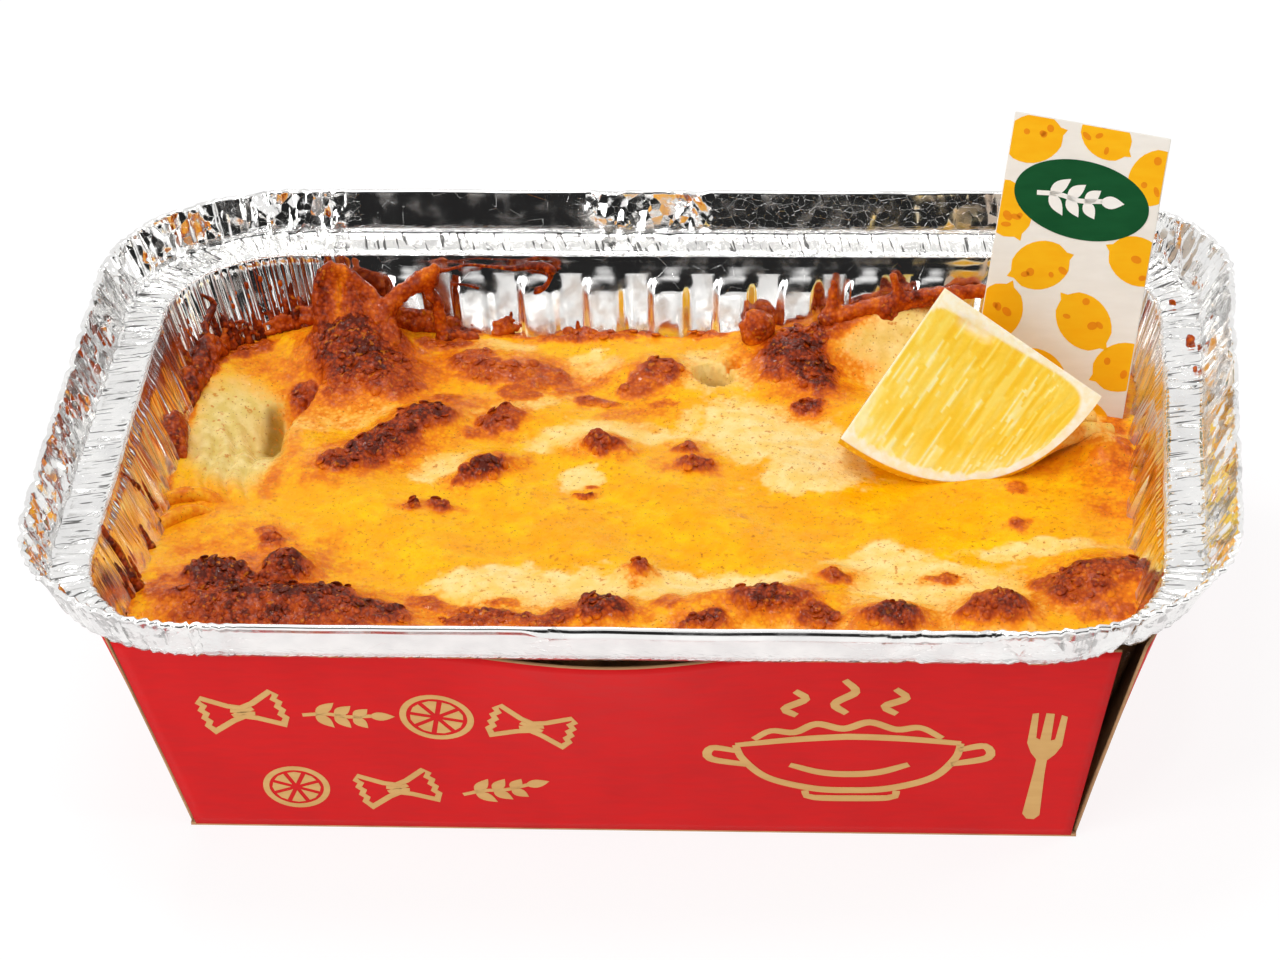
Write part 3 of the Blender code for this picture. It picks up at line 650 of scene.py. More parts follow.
def make_foil_tray(finish):
    ring = TrayRing()
    side_length = (2 * (LEDGE_OUTER - LEDGE_CORNER))[ring.side.astype(int) % 2]
    to_corner = np.where(ring.corner > 0, 0.0, np.minimum(ring.place, 1 - ring.place) * side_length)
    cornerness = 1 - ease(2.0, 11.0, to_corner)
    pleats = pleat_row(ring, 4, 1.5, 2.7)
    fine_pleats = pleat_row(ring, 9, 1.0, 1.9)
    ledge_creases = creases(ring, 21, 2.1, 0.5, 0.42, 1.5)
    rim_folds = creases(ring, 33, 3.6, 1.8, 0.75, 9.0)
    rim_lines = creases(ring, 35, 1.8, 0.7, 0.3, 4.0)
    end_sides = np.abs(ring.out_x) ** 2
    ring_x = ring.points(LEDGE_OUTER, LEDGE_CORNER, 0, 0)[:, 0]
    crinkled_back = np.where(ring.out_y > 0.5, ease(-17, -12, ring_x) * (1 - ease(5, 10, ring_x)), 0.0)
    crinkled_front = sum(
        0.55 * np.exp(-((ring_x - middle) / wide) ** 2) for middle, wide in FRONT_CRINKLES)
    crinkled_front = np.where(ring.out_y < -0.5, crinkled_front, 0.0)
    creased_back = np.where(ring.out_y > 0.5, 0.16 * ease(8, 14, ring_x), 0.0)
    crinkled = np.maximum(np.maximum(crinkled_back, creased_back), crinkled_front)
    roughness_of_rim = 0.03 + 0.97 * np.maximum(np.maximum(end_sides, cornerness), crinkled)
    rings, strips = [], []

    def wall(height, inset=0.0):
        grow = ease(8.0, 44.0, height)
        fold = (0.55 * pleats + 0.45 * fine_pleats) * cornerness * (0.25 + 1.15 * grow)
        uneven = 0.14 * (clouds(ring.arc, height, 11.0, 51, 2) - 0.5)
        shoulder = 0.75 * np.clip((46.0 - height) / 2.8, 0, 1) * (1 - cornerness)
        rib = rib_depth(ring, height) * (1 - 0.7 * cornerness)
        inward = inset + rib + fold + uneven + shoulder - 0.3 * cornerness
        return ring.points(wall_half(height), wall_corner(height), inward, height)

    def ledge(share, inward, up):
        half = LEDGE_INNER + (LEDGE_OUTER - LEDGE_INNER) * share
        radius = WALL_CORNER_TOP + (LEDGE_CORNER - WALL_CORNER_TOP) * share
        return ring.points(half, radius, inward, LEDGE_HEIGHT + up)

    for share, inset in FOOT_STEPS:
        rings.append(wall(TRAY_FLOOR + FLOOR_ROUND * share + 0.001, inset))
    for height in WALL_HEIGHTS:
        rings.append(wall(height))
    wall_count = len(rings)
    for share, up in LIP_STEPS:
        fold = (0.5 * pleats + 0.35 * fine_pleats - 0.25) * cornerness
        waver = 0.35 * (clouds(ring.arc, 0 * ring.arc, 7.0, 57) - 0.5)
        rings.append(ledge(share, fold * 0.8 + waver, up + 0.4 * fold))
    for share in LEDGE_STEPS:
        fold = (0.5 * pleats + 0.35 * fine_pleats - 0.3) * cornerness * 0.9
        up = fold - ledge_creases(share) + 0.2 * (clouds(ring.arc, share * 5, 4.0, 61) - 0.5)
        rings.append(ledge(share, 0.3 * fold, up))
    rise = ring.by_direction(RIM_RISE) - BEAD
    flare = ring.by_direction(RIM_FLARE) - 2 * BEAD
    for share in RIM_STEPS:
        fold = (0.6 * pleats + 0.3 * fine_pleats - 0.35) * cornerness * (0.5 + 0.7 * share)
        folds = (rim_folds(share) + rim_lines(share)) * roughness_of_rim
        uneven = 0.3 * (clouds(ring.arc, share * 7, 14.0, 71, 2) - 0.5)
        outward = ring.points(LEDGE_OUTER, LEDGE_CORNER, fold + folds - 0.1 + uneven, 0)
        outward[:, 0] += ring.out_x * flare * share
        outward[:, 1] += ring.out_y * flare * share
        lift = 0.35 * (clouds(ring.arc, 0 * ring.arc + 3, 16.0, 77) - 0.5) * share
        outward[:, 2] = LEDGE_HEIGHT + rise * share + lift + 0.15 * fold
        rings.append(outward)
    inner = np.array(rings)
    travel = np.roll(inner, -1, 1) - np.roll(inner, 1, 1)
    climb = np.gradient(inner, axis=0)
    facing = np.cross(climb, travel)
    facing /= np.linalg.norm(facing, axis=2, keepdims=True)
    outside = inner - SKIN * facing
    outward = np.stack([ring.out_x, ring.out_y, 0 * ring.out_x], -1)
    bead = []
    pressed = np.where(ring.out_y < -0.5, ease(-13, -9, ring_x) * (1 - ease(58, 64, ring_x)), 0.0)
    for angle in BEAD_ANGLES:
        spin = math.radians(angle)
        spots = inner[-1] + BEAD * (outward * (1 + math.cos(spin)) + np.array((0, 0, math.sin(spin))))
        if angle <= 15:
            spots[:, 2] -= BEAD_PRESSED * pressed
        bead.append(spots)
    last = len(inner) - 1
    keep = [last - step for step in (2, 4, 5, 7, 8, 9, 11, 13, 15)]
    keep += [wall_count - step for step in (0, 2, 5, 9, 14, 18)] + [3, 1, 0]
    middle_in = inner[0] * np.array((0.5, 0.5, 1))
    middle_out = outside[0] * np.array((0.5, 0.5, 1))
    layers = [middle_in, *inner, *bead, *[outside[number] for number in keep], middle_out]
    points = np.concatenate([*layers, [[0, 0, inner[0][0, 2]], [0, 0, outside[0][0, 2]]]])
    faces = grid_faces(len(layers), ring.count, closed=True)
    count = ring.count
    low, high = len(layers) * count, len(layers) * count + 1
    top = (len(layers) - 1) * count
    faces += [[low, number, (number + 1) % count] for number in range(count)]
    faces += [[high, top + (number + 1) % count, top + number] for number in range(count)]
    x, y, z = points.T
    left = ease(58, 80, -x)
    corner = ease(55, 72, -x) * ease(20, 45, y)
    right = ease(72, 84, x)
    strength = 0.12 + 0.7 * np.maximum(left, np.maximum(corner, 0.7 * right))
    height_of_stain = 34.5 + 5.5 * clouds(x + y, y - x, 5.0, 81)
    stain = ease(29, 31, z) * (1 - ease(-2.5, 1.5, z - height_of_stain)) * strength
    stain = np.maximum(stain, 0.45 * ease(30, 31, z) * (1 - ease(33.5, 35.5, z)))
    on_rim = ease(46.6, 47.6, z)
    on_ledge = ease(45.6, 46.0, z) * (1 - on_rim)

    def for_all(values):
        return np.append(np.tile(values, len(layers)), (0, 0))

    crumple = 0.004 + 0.1 * on_ledge + 0.95 * on_rim * for_all(np.maximum(roughness_of_rim - 0.06, 0.0))
    pleated = (1 - on_rim) * (1 - on_ledge) * for_all(np.maximum(end_sides, cornerness * 0.8))
    masks = {
        "stain": stain, "crumple": crumple, "ledge": on_ledge, "pleated": pleated,
        "around": for_all(ring.arc), "across": z - np.hypot(x, y) * on_ledge}
    return make_piece("foil_tray_shell", points, faces, [finish], masks)


# Gratin

BROWN = (
    # x, y, length, width, turn, how dark, from the back left
    (-55.0, 50.0, 8.0, 8.5, 0, 0.86), (-53.0, 41.5, 10.5, 7.5, -20, 0.84),
    (-47.0, 36.5, 7.5, 5.5, 10, 0.66), (-54.5, 35.0, 6.0, 3.0, 0, 0.5),
    (-62.5, 36.2, 3.6, 3.2, 10, 0.72), (-49.0, 47.5, 5.5, 4.0, -30, 0.7),
    (-54.0, 31.5, 5.0, 2.4, 0, 0.35), (-46.0, 16.4, 9.6, 5.0, 36, 0.86),
    (-39.4, 24.0, 5.6, 4.6, 45, 0.82), (-52.0, 11.0, 6.0, 3.4, 30, 0.8),
    (-47.0, 12.6, 5.0, 2.4, 30, 0.74), (-27.4, 7.8, 4.6, 1.9, 38, 0.98),
    (-30.5, 5.4, 2.4, 1.0, 20, 0.7), (-39.0, -1.6, 2.0, 1.2, 10, 0.82),
    (-33.6, -1.0, 2.2, 1.2, -15, 0.72), (-28.5, 40.0, 8.5, 4.4, -12, 0.55),
    (-20.5, 39.5, 7.0, 4.2, -20, 0.5), (-34.0, 44.5, 5.6, 4.0, 0, 0.52),
    (-26.3, 25.0, 5.0, 4.2, 40, 0.62), (-30.5, 21.5, 3.6, 2.6, 0, 0.42),
    (-10.0, 31.8, 4.6, 2.4, 0, 0.52), (-15.5, 36.0, 3.6, 2.2, 0, 0.42),
    (-0.4, 39.8, 4.4, 3.4, 20, 0.6), (-3.4, 36.6, 4.4, 3.0, 20, 0.48), (-24.0, 34.0, 5.0, 3.0, 0, 0.4),
    (1.0, 31.5, 3.0, 2.0, 0, 0.36), (-40.0, 50.5, 6.0, 2.4, 0, 0.5), (-14.0, 53.5, 10.0, 1.6, 0, 0.5),
    (8.0, 54.0, 4.0, 2.0, 0, 0.45), (-36.0, 33.0, 3.6, 3.0, 0, 0.42), (-8.0, 16.2, 4.3, 2.1, 0, 0.7),
    (7.2, 12.0, 4.2, 2.2, 10, 0.72), (5.6, 16.8, 2.6, 2.2, 0, 0.6), (-10.3, 2.0, 1.5, 0.7, 0, 0.7),
    (-8.8, 5.5, 1.2, 0.6, 0, 0.35), (22.8, 46.4, 7.2, 6.4, -30, 0.9), (26.0, 39.5, 5.2, 5.4, 0, 0.82),
    (20.5, 41.0, 4.0, 4.0, 0, 0.7), (25.8, 30.5, 3.2, 3.2, 0, 0.7), (27.2, 35.5, 2.6, 3.6, 0, 0.45),
    (30.5, 52.5, 7.0, 2.6, 20, 0.8), (42.0, 56.0, 10.0, 1.9, 4, 0.72),
    (-5.0, 55.5, 30.0, 1.0, 0, 0.45), (-30.0, 55.5, 9.0, 1.4, 0, 0.4),
    (-80.0, 36.0, 1.6, 16.0, -12, 0.5), (-73.0, 49.0, 6.0, 2.4, 40, 0.5),
    # along the front, from the left
    (-68.6, -25.4, 6.2, 4.2, 0, 0.93), (-57.0, -23.8, 5.0, 4.2, 30, 0.93),
    (-61.2, -13.4, 3.0, 3.2, 0, 0.66), (-62.4, -9.8, 2.4, 2.0, 0, 0.5),
    (-66.0, -33.0, 11.0, 4.4, 0, 0.84), (-52.0, -32.6, 11.0, 4.6, -6, 0.9),
    (-41.6, -34.6, 7.0, 3.6, -16, 0.84), (-76.5, -29.0, 4.5, 5.0, 0, 0.4),
    (-63.0, -28.0, 8.0, 4.0, 0, 0.8), (-63.0, -37.6, 12.0, 3.4, 0, 0.74),
    (-47.0, -38.6, 9.0, 3.2, -4, 0.68), (-24.0, -36.0, 8.0, 2.6, 0, 0.66),
    (-31.0, -31.6, 8.0, 2.2, -12, 0.42), (-14.0, -36.4, 7.0, 2.6, 0, 0.62),
    (-20.0, -31.4, 3.4, 2.2, 0, 0.36), (6.0, -32.0, 3.0, 2.4, 0, 0.34),
    (-4.8, -34.6, 5.2, 3.2, 0, 0.86), (0.8, -21.8, 2.0, 2.4, 0, 0.62),
    (16.6, -29.8, 2.8, 1.9, 0, 0.45), (12.0, -37.0, 5.0, 2.0, 8, 0.8),
    (22.6, -31.6, 7.0, 3.2, 8, 0.78), (31.0, -35.0, 5.0, 2.4, -14, 0.62),
    (33.0, -23.6, 3.4, 2.4, 0, 0.55), (43.0, -36.4, 5.4, 2.8, 0, 0.9), (50.6, -22.9, 3.0, 1.3, 8, 0.5),
    (59.0, -34.0, 6.0, 3.8, 0, 0.66), (72.0, -26.6, 6.6, 6.0, 10, 0.66),
    (79.5, -23.4, 4.2, 4.6, 0, 0.72), (66.5, -24.4, 3.6, 3.2, 0, 0.5),
    (76.0, -33.0, 6.0, 3.0, 10, 0.4), (62.4, -6.6, 2.4, 1.7, 0, 0.42), (78.5, 10.5, 2.6, 3.2, 0, 0.3),
    (62.0, 4.5, 2.2, 3.6, 0, 0.4), (79.5, 17.5, 2.0, 3.0, 0, 0.4), (78.0, 30.0, 3.0, 12.0, 0, 0.3),
)
CREAM = (
    # x, y, length, width, turn
    (18.0, 23.0, 14.5, 9.0, -22), (29.0, 14.0, 10.0, 8.0, -30), (27.0, 7.0, 8.0, 4.0, 0),
    (-9.5, 20.5, 13.5, 4.2, 8), (-11.0, 8.0, 4.6, 3.6, 20), (-36.0, 10.0, 6.0, 4.6, 34),
    (-24.0, 30.0, 9.0, 2.6, 20), (8.0, 42.0, 8.0, 7.0, 0), (-12.0, 43.5, 5.2, 5.0, 0),
    (42.0, 47.0, 12.0, 8.0, 0), (-58.0, 27.5, 9.0, 4.0, 20), (-50.0, 27.5, 8.0, 3.2, 24),
    (-30.0, 50.0, 8.0, 3.0, 0), (-14.0, -27.5, 17.0, 6.4, 4), (6.0, -25.5, 16.0, 6.0, -2),
    (-24.0, -24.0, 10.0, 4.0, 12), (20.0, -24.0, 8.0, 3.0, 0), (50.0, -24.0, 17.0, 6.6, 4),
    (40.0, -19.0, 9.0, 4.0, 10), (55.0, -31.0, 20.0, 5.0, 0), (38.5, -14.0, 3.0, 4.6, -20),
    (66.0, -13.6, 13.0, 2.6, 4), (30.0, -42.0, 40.0, 6.0, 0), (72.0, 22.0, 9.0, 5.0, -20),
)
GOLDEN = (
    # x, y, length, width, turn, how golden
    (-3.0, 28.0, 9.0, 5.0, 0, 0.22), (-37.0, 30.0, 12.0, 8.0, 20, 0.26),
    (-40.0, 45.0, 8.0, 8.0, 0, 0.26), (-64.0, 14.0, 4.0, 14.0, 0, 0.3),
    (-70.0, 45.0, 12.0, 6.0, 20, 0.24), (60.0, 6.0, 16.0, 6.0, 0, 0.14),
    (-56.0, 40.0, 17.0, 17.0, 0, 0.30), (-46.0, 17.0, 14.0, 9.0, 36, 0.26),
    (-22.0, 40.0, 20.0, 8.0, -8, 0.30), (-26.0, 24.0, 7.0, 5.0, 30, 0.24),
    (25.0, 42.0, 10.0, 14.0, 0, 0.24), (-62.0, -20.0, 18.0, 16.0, 0, 0.26),
    (-74.0, -10.0, 9.0, 26.0, 0, 0.20), (-60.0, -35.0, 24.0, 8.0, 0, 0.3),
    (20.0, -33.0, 18.0, 7.0, 0, 0.24), (73.0, -26.0, 13.0, 10.0, 0, 0.30),
    (77.0, 8.0, 8.0, 26.0, 0, 0.22), (-5.0, -35.0, 9.0, 6.0, 0, 0.24),
    (-5.0, 36.0, 13.0, 7.0, 10, 0.18), (-46.0, 42.0, 12.0, 10.0, 0, 0.36),
    (59.0, -34.0, 9.0, 6.0, 0, 0.24), (45.0, -36.0, 9.0, 5.0, 0, 0.22),
    (62.0, 12.0, 12.0, 8.0, 0, 0.16),
)
MOUNDS = (
    # x, y, length, width, turn, height
    (-54.0, 48.5, 7.5, 8.0, 0, 6.5), (-50.0, 41.0, 8.0, 7.0, 0, 2.6), (-78.0, 44.0, 6.0, 10.0, 0, 1.6),
    (-26.0, 43.0, 9.0, 6.0, 0, 1.6), (-3.0, 41.0, 9.0, 5.0, 0, 1.6), (24.0, 44.5, 7.0, 9.0, -15, 2.6),
    (38.0, 53.0, 17.0, 5.5, 4, 6.2), (-62.5, 36.0, 4.0, 3.5, 0, 1.4),
    (-43.5, 20.5, 14.0, 5.0, 40, 3.0), (-27.2, 10.5, 6.0, 3.2, 38, 2.2),
    (-25.0, 26.5, 5.0, 4.5, 0, 1.2), (-8.3, 17.8, 4.5, 2.6, 0, 1.6), (6.4, 15.5, 4.0, 5.0, 0, 1.6),
    (76.0, 17.0, 4.5, 5.0, 0, 3.0), (66.0, 28.0, 14.0, 4.0, -8, 2.4), (-68.0, -24.5, 6.5, 4.5, 0, 3.4),
    (-57.3, -23.0, 5.0, 4.5, 30, 3.8), (-61.0, -33.5, 18.0, 5.5, 0, 3.8),
    (-5.0, -34.0, 6.0, 4.5, 0, 3.4), (0.8, -21.6, 2.6, 2.6, 0, 2.0), (18.0, -31.5, 12.0, 4.5, 6, 4.0),
    (32.6, -21.6, 3.6, 3.0, 0, 1.4), (43.0, -35.0, 6.0, 4.5, 0, 4.0), (59.0, -33.0, 6.5, 5.0, 0, 3.8),
    (74.5, -25.0, 9.0, 8.5, 20, 4.2), (-30.0, -44.0, 22.0, 6.0, 0, 1.8),
)
HOLLOWS = (
    # x, y, length, width, turn, depth
    (-71.5, 24.0, 7.5, 17.0, 0, 2.4), (36.5, 42.0, 9.0, 6.0, 0, 2.0),
)
BUBBLES = (
    # x, y, radius, depth
    (8.8, 40.6, 3.6, 6.0), (12.0, 44.6, 1.5, 3.0),
)
# x, y, length, width, turn, how pale
PALE = ((9.0, 41.5, 4.6, 4.2, 0, 0.8), (-11.5, 42.5, 3.6, 3.0, 0, 0.5), (38.0, 50.0, 12.0, 5.5, 0, 0.6))


def patch_distance(patch, x, y):
    """How far from a patch's middle, where 1 is its edge."""
    turn = math.radians(patch[4])
    dx, dy = x - patch[0], y - patch[1]
    along = (dx * math.cos(turn) + dy * math.sin(turn)) / patch[2]
    across = (dy * math.cos(turn) - dx * math.sin(turn)) / patch[3]
    return np.hypot(along, across)


def food_maps(x, y):
    """Height, browning, cheddar and paleness of the gratin at points of its plan; paleness above 1 is painted
    shade in the hollow and the bubble holes.
    """
    wx = x + 3.2 * (clouds(x, y, 7.0, 101) - 0.5) + 1.4 * (cloud(x, y, 1.7, 103) - 0.5)
    wy = y + 3.2 * (clouds(x, y, 7.0, 105) - 0.5) + 1.4 * (cloud(x, y, 1.7, 107) - 0.5)
    bake = np.zeros_like(x)
    for patch in BROWN:
        away = patch_distance(patch, wx, wy)
        bake = np.maximum(bake, patch[5] * (1 - ease(0.55, 1.25, away)))
        bake = np.maximum(bake, 0.4 * np.exp(-(away / 1.9) ** 2) * min(1.0, patch[5] + 0.1))
    mottled = clouds(x, y, 2.4, 111)
    bake = bake * (0.72 + 0.56 * mottled)
    for patch in GOLDEN:
        away = patch_distance(patch, wx, wy)
        bake = np.maximum(bake, 1.15 * patch[5] * np.exp(-away ** 2) * (0.4 + 1.2 * clouds(x, y, 5.0, 113)))
    cream = np.zeros_like(x)
    for patch in CREAM:
        away = patch_distance(patch, wx, wy)
        cream = np.maximum(cream, 1 - ease(0.62, 1.3, away + 0.7 * (clouds(x, y, 2.6, 117) - 0.5)))
    cheddar = 1 - cream
    pale_and_hollow_shade = 1 - ease(0.55, 1.2, patch_distance((-71.5, 22.0, 9.5, 19.0, 8), wx, wy))
    for patch in PALE:
        pale_and_hollow_shade = np.maximum(pale_and_hollow_shade, patch[5] * (1 - ease(0.5, 1.0, patch_distance(patch, x, y))))
    bake = bake * (1 - 0.75 * pale_and_hollow_shade)
    # Painted shade: the deep pocket under the lip on the left is darkened through values of 1 to 2.
    from_deep = x + 66.0 - 0.06 * (y - 30) - 0.8 * np.sin(y / 3.5)
    deep = np.exp(-(from_deep / np.where(from_deep < 0, 3.4, 1.0)) ** 2 - np.abs((y - 29.5) / 8.5) ** 3)
    pale_and_hollow_shade = pale_and_hollow_shade + 1.25 * ease(0.15, 1.0, deep)
    # Painted shade inside the bubble holes.
    for bubble_x, bubble_y, radius, _ in BUBBLES:
        pale_and_hollow_shade = pale_and_hollow_shade + 0.75 * (1 - ease(0.75, 1.02, np.hypot(x - bubble_x, y - bubble_y) / radius))
    rise = 0.45 * (np.sin(x / 9.0 + 0.7) * np.cos(y / 7.0) + np.sin(x / 4.3 + y / 5.1))
    mound = np.zeros_like(x)
    for patch in MOUNDS:
        away = patch_distance(patch, 0.5 * (x + wx), 0.5 * (y + wy))
        mound = np.maximum(mound, patch[5] * np.exp(-away ** 2))
    for patch in HOLLOWS:
        mound -= patch[5] * np.exp(-patch_distance(patch, x, y) ** 2)
    lip = -63.6 + 1.6 * np.sin(y / 5.0) + 0.1 * (y - 20)
    past = wx * 0.4 + x * 0.6 - lip
    side = np.where(past < 0, 1.0, np.exp(-(past / 0.9) ** 2))
    side = np.where(past < -2.0, np.exp(-((past + 2.0) / 4.6) ** 2), side)
    mound -= 6.0 * side * np.exp(-np.abs((y - 28.0) / 10.5) ** 3)
    strings = np.exp(-((x + 72.5) / 7.0) ** 2) * ease(-2, 3, y) * (1 - ease(20, 32, y))
    mound += 1.3 * strings * np.abs(np.sin(x * 0.95 + 0.16 * y + 1.1 * np.sin(y / 4.2)))
    for bx, by, radius, depth in BUBBLES:
        mound -= depth * np.sqrt(np.clip(1 - (np.hypot(x - bx, y - by) / radius) ** 2, 0, 1))
    near, second, _ = cells(wx, wy, 2.0, 121)
    blisters = np.clip(1 - near * 1.3, 0, 1)
    small, _, _ = cells(x, y, 1.1, 123)
    crust = ease(0.25, 0.7, bake)
    relief = crust * (0.75 * blisters + 0.4 * np.clip(1 - small * 1.4, 0, 1) + 0.25)
    relief = relief + 0.5 * (clouds(x, y, 6.0, 125, 4) - 0.5) + 0.16 * (clouds(x, y, 1.6, 131) - 0.5)
    return FOOD_LEVEL + rise + mound + relief, bake, cheddar, pale_and_hollow_shade


def oblong_plan(columns, rows, half, radius):
    """Points of a square grid laid in a rounded oblong, and how near each is to the edge."""
    s, t = np.meshgrid(np.linspace(-1, 1, columns), np.linspace(-1, 1, rows))
    x, y = s * half[0], t * half[1]
    u = np.clip((np.abs(x) - (half[0] - radius)) / radius, 0, 1)
    v = np.clip((np.abs(y) - (half[1] - radius)) / radius, 0, 1)
    bent_u = u * np.sqrt(1 - v ** 2 / 2)
    bent_v = v * np.sqrt(1 - u ** 2 / 2)
    x = np.where(u > 0, np.sign(x) * (half[0] - radius + bent_u * radius), x)
    y = np.where(v > 0, np.sign(y) * (half[1] - radius + bent_v * radius), y)
    return x, y, np.maximum(np.abs(s), np.abs(t))


def make_gratin(finish):
    columns, rows = 332, 226
    half = wall_half(FOOD_LEVEL) - 0.15
    x, y, nearness = oblong_plan(columns, rows, half, wall_corner(FOOD_LEVEL))
    height, bake, cheddar, pale_and_hollow_shade = food_maps(x, y)
    lift = (height - FOOD_LEVEL) * ease(0.93, 1.0, nearness)
    x = x * (1 + lift * WALL_LEAN[0] / half[0])
    y = y * (1 + lift * WALL_LEAN[1] / half[1])
    edge = ease(0.965, 1.0, nearness)
    bake = np.maximum(bake, 0.34 * edge * clouds(x, y, 4.0, 133) * 1.6)
    top = np.stack([x, y, height], -1).reshape(-1, 3)
    border = border_of(rows, columns)
    rim = top[border]
    floor = TRAY_FLOOR + 0.4
    skirts = []
    for depth in SKIRT_DEPTHS:
        lowered = rim.copy()
        lowered[:, 2] = np.maximum(rim[:, 2] - depth, floor)
        fallen = rim[:, 2] - lowered[:, 2]
        for axis in (0, 1):
            side = np.sign(rim[:, axis])
            by_wall = np.clip(np.abs(rim[:, axis]) / half[axis], 0, 1) ** 6
            lowered[:, axis] -= side * (fallen * WALL_LEAN[axis] * by_wall + SKIRT_GAP)
        skirts.append(lowered)
    points = np.concatenate([top, *skirts, [[0, 0, floor]]])
    faces = [list(reversed(face)) for face in grid_faces(rows, columns)]
    count, total = len(border), len(top)
    rings = len(SKIRT_DEPTHS)
    numbers = [border] + [total + step * count + np.arange(count) for step in range(rings)]
    for upper, lower in zip(numbers, numbers[1:]):
        following_upper, following_lower = np.roll(upper, -1), np.roll(lower, -1)
        faces += np.stack([upper, lower, following_lower, following_upper], -1).tolist()
    last = numbers[-1]
    faces += [[int(a), total + rings * count, int(b)] for a, b in zip(last, np.roll(last, -1))]
    filler = np.zeros(rings * count + 1)
    masks = {
        "bake": np.concatenate([bake.ravel(), filler + 0.2]),
        "cheddar": np.concatenate([cheddar.ravel(), filler + 0.6]),
        "pale_and_hollow_shade": np.concatenate([pale_and_hollow_shade.ravel(), filler]),
    }
    gratin = make_piece("gratin_top", points, faces, [finish], masks)
    turn_outward(gratin)
    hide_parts("gratin")
    return gratin


# Crust that stands up, and what baked onto the wall. Each strand is a list of points with radii.
STRANDS = {
    "ear_left": (
        ((-58.5, 48, 34), 2.6), ((-59.8, 50.6, 38.6), 1.9), ((-60.6, 52.0, 42.4), 1.35),
        ((-59.9, 53.0, 45.6), 1.15), ((-58.4, 53.4, 47.0), 1.0)),
    "ear_tip": (
        ((-56, 47.5, 35), 2.8), ((-57.6, 50.8, 40.0), 1.9), ((-58.4, 52.8, 44.0), 1.35),
        ((-58.3, 53.6, 46.6), 1.1)),
    "ear_right": (
        ((-58.2, 53.6, 46.6), 1.0), ((-56.0, 53.6, 45.6), 1.15), ((-53.6, 53.2, 43.4), 1.25),
        ((-51.8, 52.4, 41.0), 1.5), ((-50.4, 50.4, 38.0), 2.2)),
    "ear_fold": (
        ((-53.5, 48, 36), 2.8), ((-54.6, 51.2, 40.4), 1.9), ((-55.4, 53.0, 43.6), 1.3),
        ((-56.4, 53.6, 45.4), 1.0)),
    "neck": (
        ((-48.6, 47, 34.6), 2.8), ((-49.4, 50, 37.8), 2.1), ((-50.6, 51.8, 40.2), 1.5),
        ((-52.2, 52.8, 42.4), 1.2)),
    "right_arm": (
        ((-50.4, 50, 38.0), 2.3), ((-48.0, 51.6, 40.6), 1.7), ((-45.4, 52.8, 42.6), 1.5),
        ((-42.4, 53.5, 44.4), 1.7), ((-40.6, 53.6, 45.8), 1.3), ((-40.4, 53.6, 46.6), 0.8)),
    "hanging_skin": (
        ((-47.4, 52.2, 40.6), 1.0), ((-46.0, 52.8, 40.9), 0.6), ((-43.6, 53.4, 42.6), 0.8)),
    "loop": (
        ((-40.8, 53.5, 44.4), 1.3), ((-41.6, 53.4, 42.2), 1.0), ((-40.2, 53.2, 39.6), 1.1),
        ((-39.8, 52.8, 36.0), 1.2), ((-38.8, 52, 31.5), 1.8)),
    "loop_foot": (((-38.9, 52.2, 33.5), 1.5), ((-36.6, 52.8, 33.0), 1.3), ((-34.0, 53.0, 32.6), 1.2)),
    "ball": (((15.6, 51.6, 34.4), 2.6), ((15.8, 52.2, 35.4), 3.1), ((15.9, 52.4, 36.0), 2.9)),
    "crumb_back": (((87.2, 43.2, 46.5), 0.45), ((87.6, 42.8, 46.6), 0.6)),
    "crumb_middle": (((90.2, 31.4, 46.4), 0.6), ((90.4, 30.6, 46.5), 0.8)),
    "crumb_front": (((91.0, 21.9, 46.4), 0.45), ((91.2, 21.4, 46.5), 0.55)),
    "spike_left": (((28.6, 52.6, 36.5), 1.8), ((29.0, 53.8, 40.5), 1.1), ((29.2, 54.6, 43.4), 0.6)),
    "spike_right": (((38.6, 53.0, 38.5), 1.9), ((40.2, 54.2, 41.6), 1.1), ((39.4, 54.9, 44.6), 0.7)),
    "back_crust": (
        ((28.0, 52.6, 37.0), 1.8), ((34.0, 53.6, 38.6), 1.5), ((40.0, 54.2, 39.6), 1.7),
        ((48.0, 54.8, 41.0), 1.4), ((55.0, 55.0, 41.6), 1.2)),
}
THREADS = {
    "string": (
        ((-40.6, 53.8, 45.8), 0.7), ((-38.0, 54.2, 45.9), 0.3), ((-34.6, 54.6, 46.6), 0.26),
        ((-30.0, 55.0, 46.0), 0.3), ((-26.6, 55.2, 45.6), 0.5), ((-23.6, 55.3, 46.1), 0.8),
        ((-21.2, 55.3, 45.8), 0.9), ((-19.6, 55.2, 44.9), 0.8)),
    "string_drip": (
        ((-20.0, 55.2, 45.2), 0.7), ((-20.4, 55.1, 43.6), 0.4), ((-21.4, 54.9, 42.0), 0.5),
        ((-22.6, 54.8, 41.4), 0.7), ((-23.2, 54.8, 40.8), 0.3)),
    "loose_thread": (
        ((-37.6, 54.2, 43.0), 0.3), ((-35.2, 54.6, 42.6), 0.22), ((-33.0, 54.8, 41.8), 0.26)),
}


def smooth_path(points, every=0.5):
    """Places and radii along a smooth line through points."""
    return smooth_line(np.array([[*place, radius] for place, radius in points], float), every)


